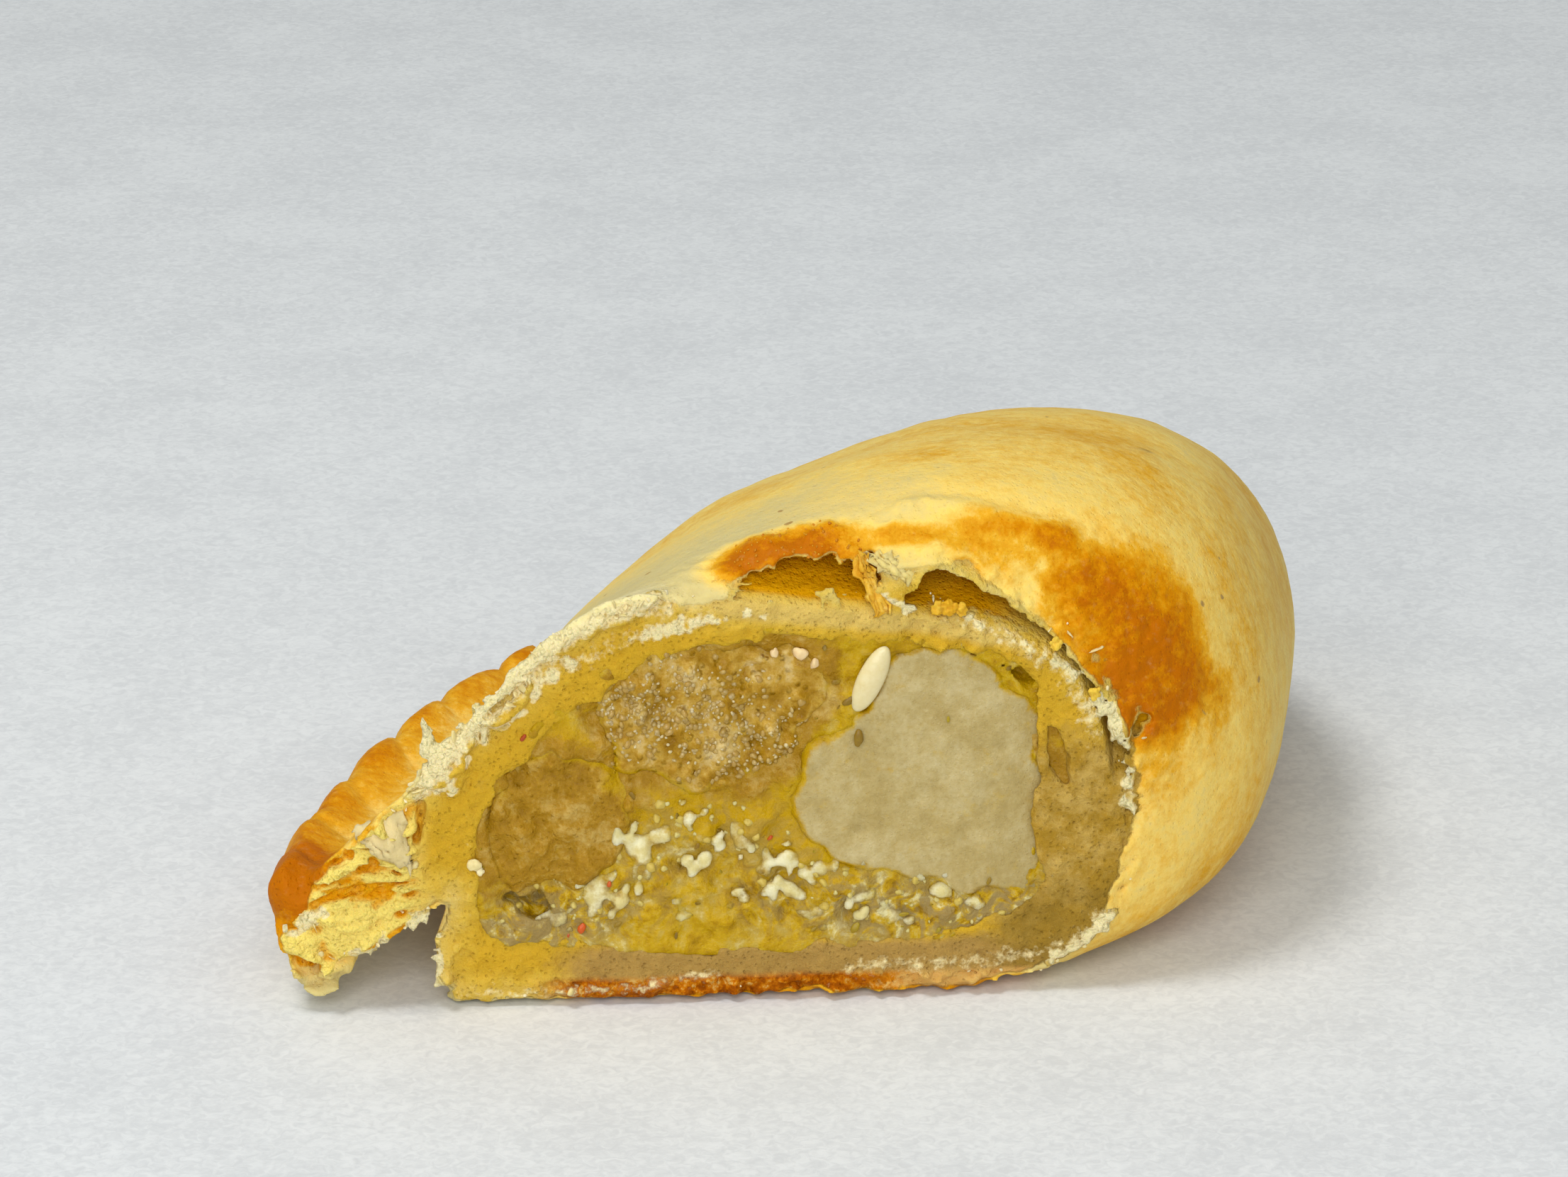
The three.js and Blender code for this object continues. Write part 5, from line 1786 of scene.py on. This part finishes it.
# The shape of each kind of crumb: smallest and largest size in mm, length, flatness, lift, height
# and grain of its knobs in mm, tumble, facets and seed, then its material and the slot it is in
BIT_SHAPES = {
    "cheese_crumbs": ((0.3, 0.9), 1.15, 0.8, -0.2, (0.4, 0.4), 1.0, 3, 201, "Small cheese", "herb_paste"),
    "herb_flecks": ((0.2, 0.5), 1.5, 0.25, 0.1, (0.1, 0.4), 0.35, 2, 203, "Green herb", "herb_paste"),
    "herb_leaves": ((1, 1), 0.5, 0.3, 0.0, (0.25, 0.5), 0.0, 3, 204, "Green herb", "herb_paste"),
    "chilli_bits": ((1, 1), 0.6, 0.5, 0.0, (0.3, 0.5), 0.0, 3, 205, "Red pepper", "herb_paste"),
    "pink_cheese": ((1, 1), 0.8, 0.6, 0.0, (0.9, 0.9), 0.0, 3, 206, "Pink cheese", "herb_paste"),
    "pale_seed": ((1, 1), 0.36, 0.22, 0.0, (0.1, 1.4), 0.0, 4, 207, "Pale seed", "herb_paste"),
    "skin_flakes": ((0.2, 0.7), 2.0, 0.25, 0.1, (0.4, 0.35), 0.6, 2, 208, "White crumb", "pastry"),
    "pastry_crumbs": ((0.2, 0.65), 1.0, 0.7, 0.05, (0.4, 0.4), 1.0, 2, 209, "White crumb", "pastry"),
    "white_crumbs": ((1, 1), 1.0, 0.7, 0.0, (0.9, 0.5), 0.0, 3, 210, "White crumb", "pastry"),
    "toasted_crumbs": ((1, 1), 1.0, 0.4, 0.0, (1.1, 0.5), 0.0, 4, 211, "Browned crumb", "pastry"),
    "crest_bubbles": ((0.15, 0.34), 1.0, 0.6, 0.0, (0.1, 0.3), 1.0, 2, 212, "Toasted bubble", "pastry"),
    "potato_grains": ((0.22, 0.8), 1.0, 0.7, -0.2, (0.4, 0.4), 1.0, 2, 213, "Potato grain", "potato"),
}
# Crumbs that are strewn: on which piece, by which stored number and how many on a square mm
STREWN = {
    "cheese_crumbs": ("filling", "cheese_zone", 0.5),
    "herb_flecks": ("filling", "herb_zone", 0.04),
    "skin_flakes": ("crust", "flake_zone", 1.4),
    "pastry_crumbs": ("crust", "crumb_zone", 1.0),
    "crest_bubbles": ("crust", "bubble_zone", 2.5),
    "potato_grains": ("potato_top", "grain_zone", 5.0),
}
# Crumbs that lie where they are put, each spot with a size of its own
PLACED = {
    "herb_leaves": HERB_SPOTS,
    "chilli_bits": CHILLI_SPOTS,
    "pink_cheese": PINK_SPOTS,
    "pale_seed": SEED_SPOTS,
    "white_crumbs": WHITE_CRUMBS,
    "toasted_crumbs": ORANGE_CRUMBS,
}


def make_bits(pieces):
    """The crumbs, seeds, herbs and flakes, each kind one piece: {name: (piece, slot)}."""
    strew, place = scatter_tree(), placed_tree()
    materials = {name: bit_material(name, *finish) for name, finish in BIT_FINISHES.items()}
    bits = {}
    for name, (*shape, finish, slot) in BIT_SHAPES.items():
        values = crumb_values(*shape, materials[finish])
        if name in STREWN:
            host, zone, per_square_mm = STREWN[name]
            values |= {"Zone": zone, "Per square metre": per_square_mm / MM ** 2}
            bits[name] = (run_tree(name, strew, pieces[host].data.copy(), values), slot)
        else:
            mesh = host_points(name + "_spots", PLACED[name])
            bits[name] = (run_tree(name, place, mesh, values), slot)
    return bits


# ------------------------------------------------------------------ floor, light and camera

FLOOR_SIZE = 6.0
FLOOR_DROP = 0.0002  # below the base, so that the two faces don't meet
CAMERA_PLACE = (-0.0348, -0.4988, 0.2068)  # from the part's origin
CAMERA_FRAME_WIDTH = 0.125  # width of the picture at the part's middle, in metres
SENSOR = 36.0
CLIP_NEAR, CLIP_FAR = 0.01, 20.0
AIM_HEIGHT = 0.015
ROOM_COLOUR = (0.92, 0.97, 1.0, 1.0)
ROOM_STRENGTH = 0.34
# Round lamps that face the food: name, place, size, power and colour
LAMPS = [
    ("Window light", (-0.3, -0.12, 0.9), 0.28, 3.7, (1.0, 1.0, 0.99)),
    ("Front fill", (-0.15, -0.95, 0.5), 0.8, 7.6, (1.0, 1.0, 0.98)),
]


def make_floor():
    """White paper with faint fibres."""
    mesh = bpy.data.meshes.new("paper_floor")
    half = FLOOR_SIZE / 2
    corners = [(-half, -half), (half, -half), (half, half), (-half, half)]
    mesh.from_pydata([(x, y, -FLOOR_DROP) for x, y in corners], [], [(0, 1, 2, 3)])
    floor = bpy.data.objects.new("paper_floor", mesh)
    bpy.context.collection.objects.link(floor)
    material, tree, shader = new_material("White paper", Roughness=0.75, Specular_IOR_Level=0.2)
    where = place_of(tree)
    fibres = noise(tree, where, 0.9, 3.0, 0.6, 1.0)
    clouds = noise(tree, where, 14.0, 3.0)
    tone = plus(tree, fibres, times(tree, clouds, 0.5))
    colour = mixed(tree, between(tree, tone, 0.5, 1.0), PAPER_SHADE, PAPER_WHITE)
    tree.links.new(colour, shader.inputs["Base Color"])
    emboss(tree, shader, fibres, 0.15, 0.15)
    mesh.materials.append(material)


def area_light(name, place, size, power, colour):
    """A round lamp that faces the food."""
    light = bpy.data.lights.new(name, "AREA")
    light.shape = "DISK"
    light.size = size
    light.energy = power
    light.color = colour
    lamp = bpy.data.objects.new(name, light)
    lamp.location = place
    lamp.rotation_euler = (Vector(place) - Vector((0, 0, AIM_HEIGHT))).to_track_quat("Z", "Y").to_euler()
    bpy.context.collection.objects.link(lamp)


def make_light():
    """A soft bright room with two lamps."""
    world = bpy.data.worlds.new("Soft room")
    world.use_nodes = True
    sky = world.node_tree.nodes["Background"]
    sky.inputs["Color"].default_value = ROOM_COLOUR
    sky.inputs["Strength"].default_value = ROOM_STRENGTH
    bpy.context.scene.world = world
    for name, place, size, power, colour in LAMPS:
        area_light(name, place, size, power, colour)
    bpy.context.scene.view_settings.view_transform = "Standard"


def make_camera():
    """A camera low in front of the cut, a little to its left."""
    low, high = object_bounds()
    target = (low + high) / 2
    place = Vector(CAMERA_PLACE)
    camera = bpy.data.objects.new("Camera", bpy.data.cameras.new("Camera"))
    camera.data.sensor_width = SENSOR
    camera.data.lens = SENSOR * (target - place).length / CAMERA_FRAME_WIDTH
    camera.data.clip_start = CLIP_NEAR
    camera.data.clip_end = CLIP_FAR
    camera.location = place
    camera.rotation_euler = (place - target).to_track_quat("Z", "Y").to_euler()
    bpy.context.collection.objects.link(camera)
    bpy.context.scene.camera = camera


# ------------------------------------------------------------------ the whole thing


def main():
    """Builds every piece, hides the model's parts that they replace, hangs them on the body and lights it.
    """
    pieces = make_pieces()
    cheese = pieces.pop("cheese")
    store_zones(pieces)
    materials = {"crust": crust_material()}
    for node, (name, *look) in FILLING_LOOKS.items():
        materials[node] = filling_material(name, *look)
    for node, piece in pieces.items():
        finish_with(piece, materials[node])
        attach(piece, "root")
        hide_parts(node)
    flaps = torn_flaps()
    finish_with(flaps, flap_material())
    finish_with(cheese, cheese_material())
    bits = make_bits(pieces) | {"torn_flaps": (flaps, "pastry"), "cheese_lumps": (cheese, "herb_paste")}
    for piece, slot in bits.values():
        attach(piece, "root")
    make_camera()
    make_floor()
    make_light()


main()
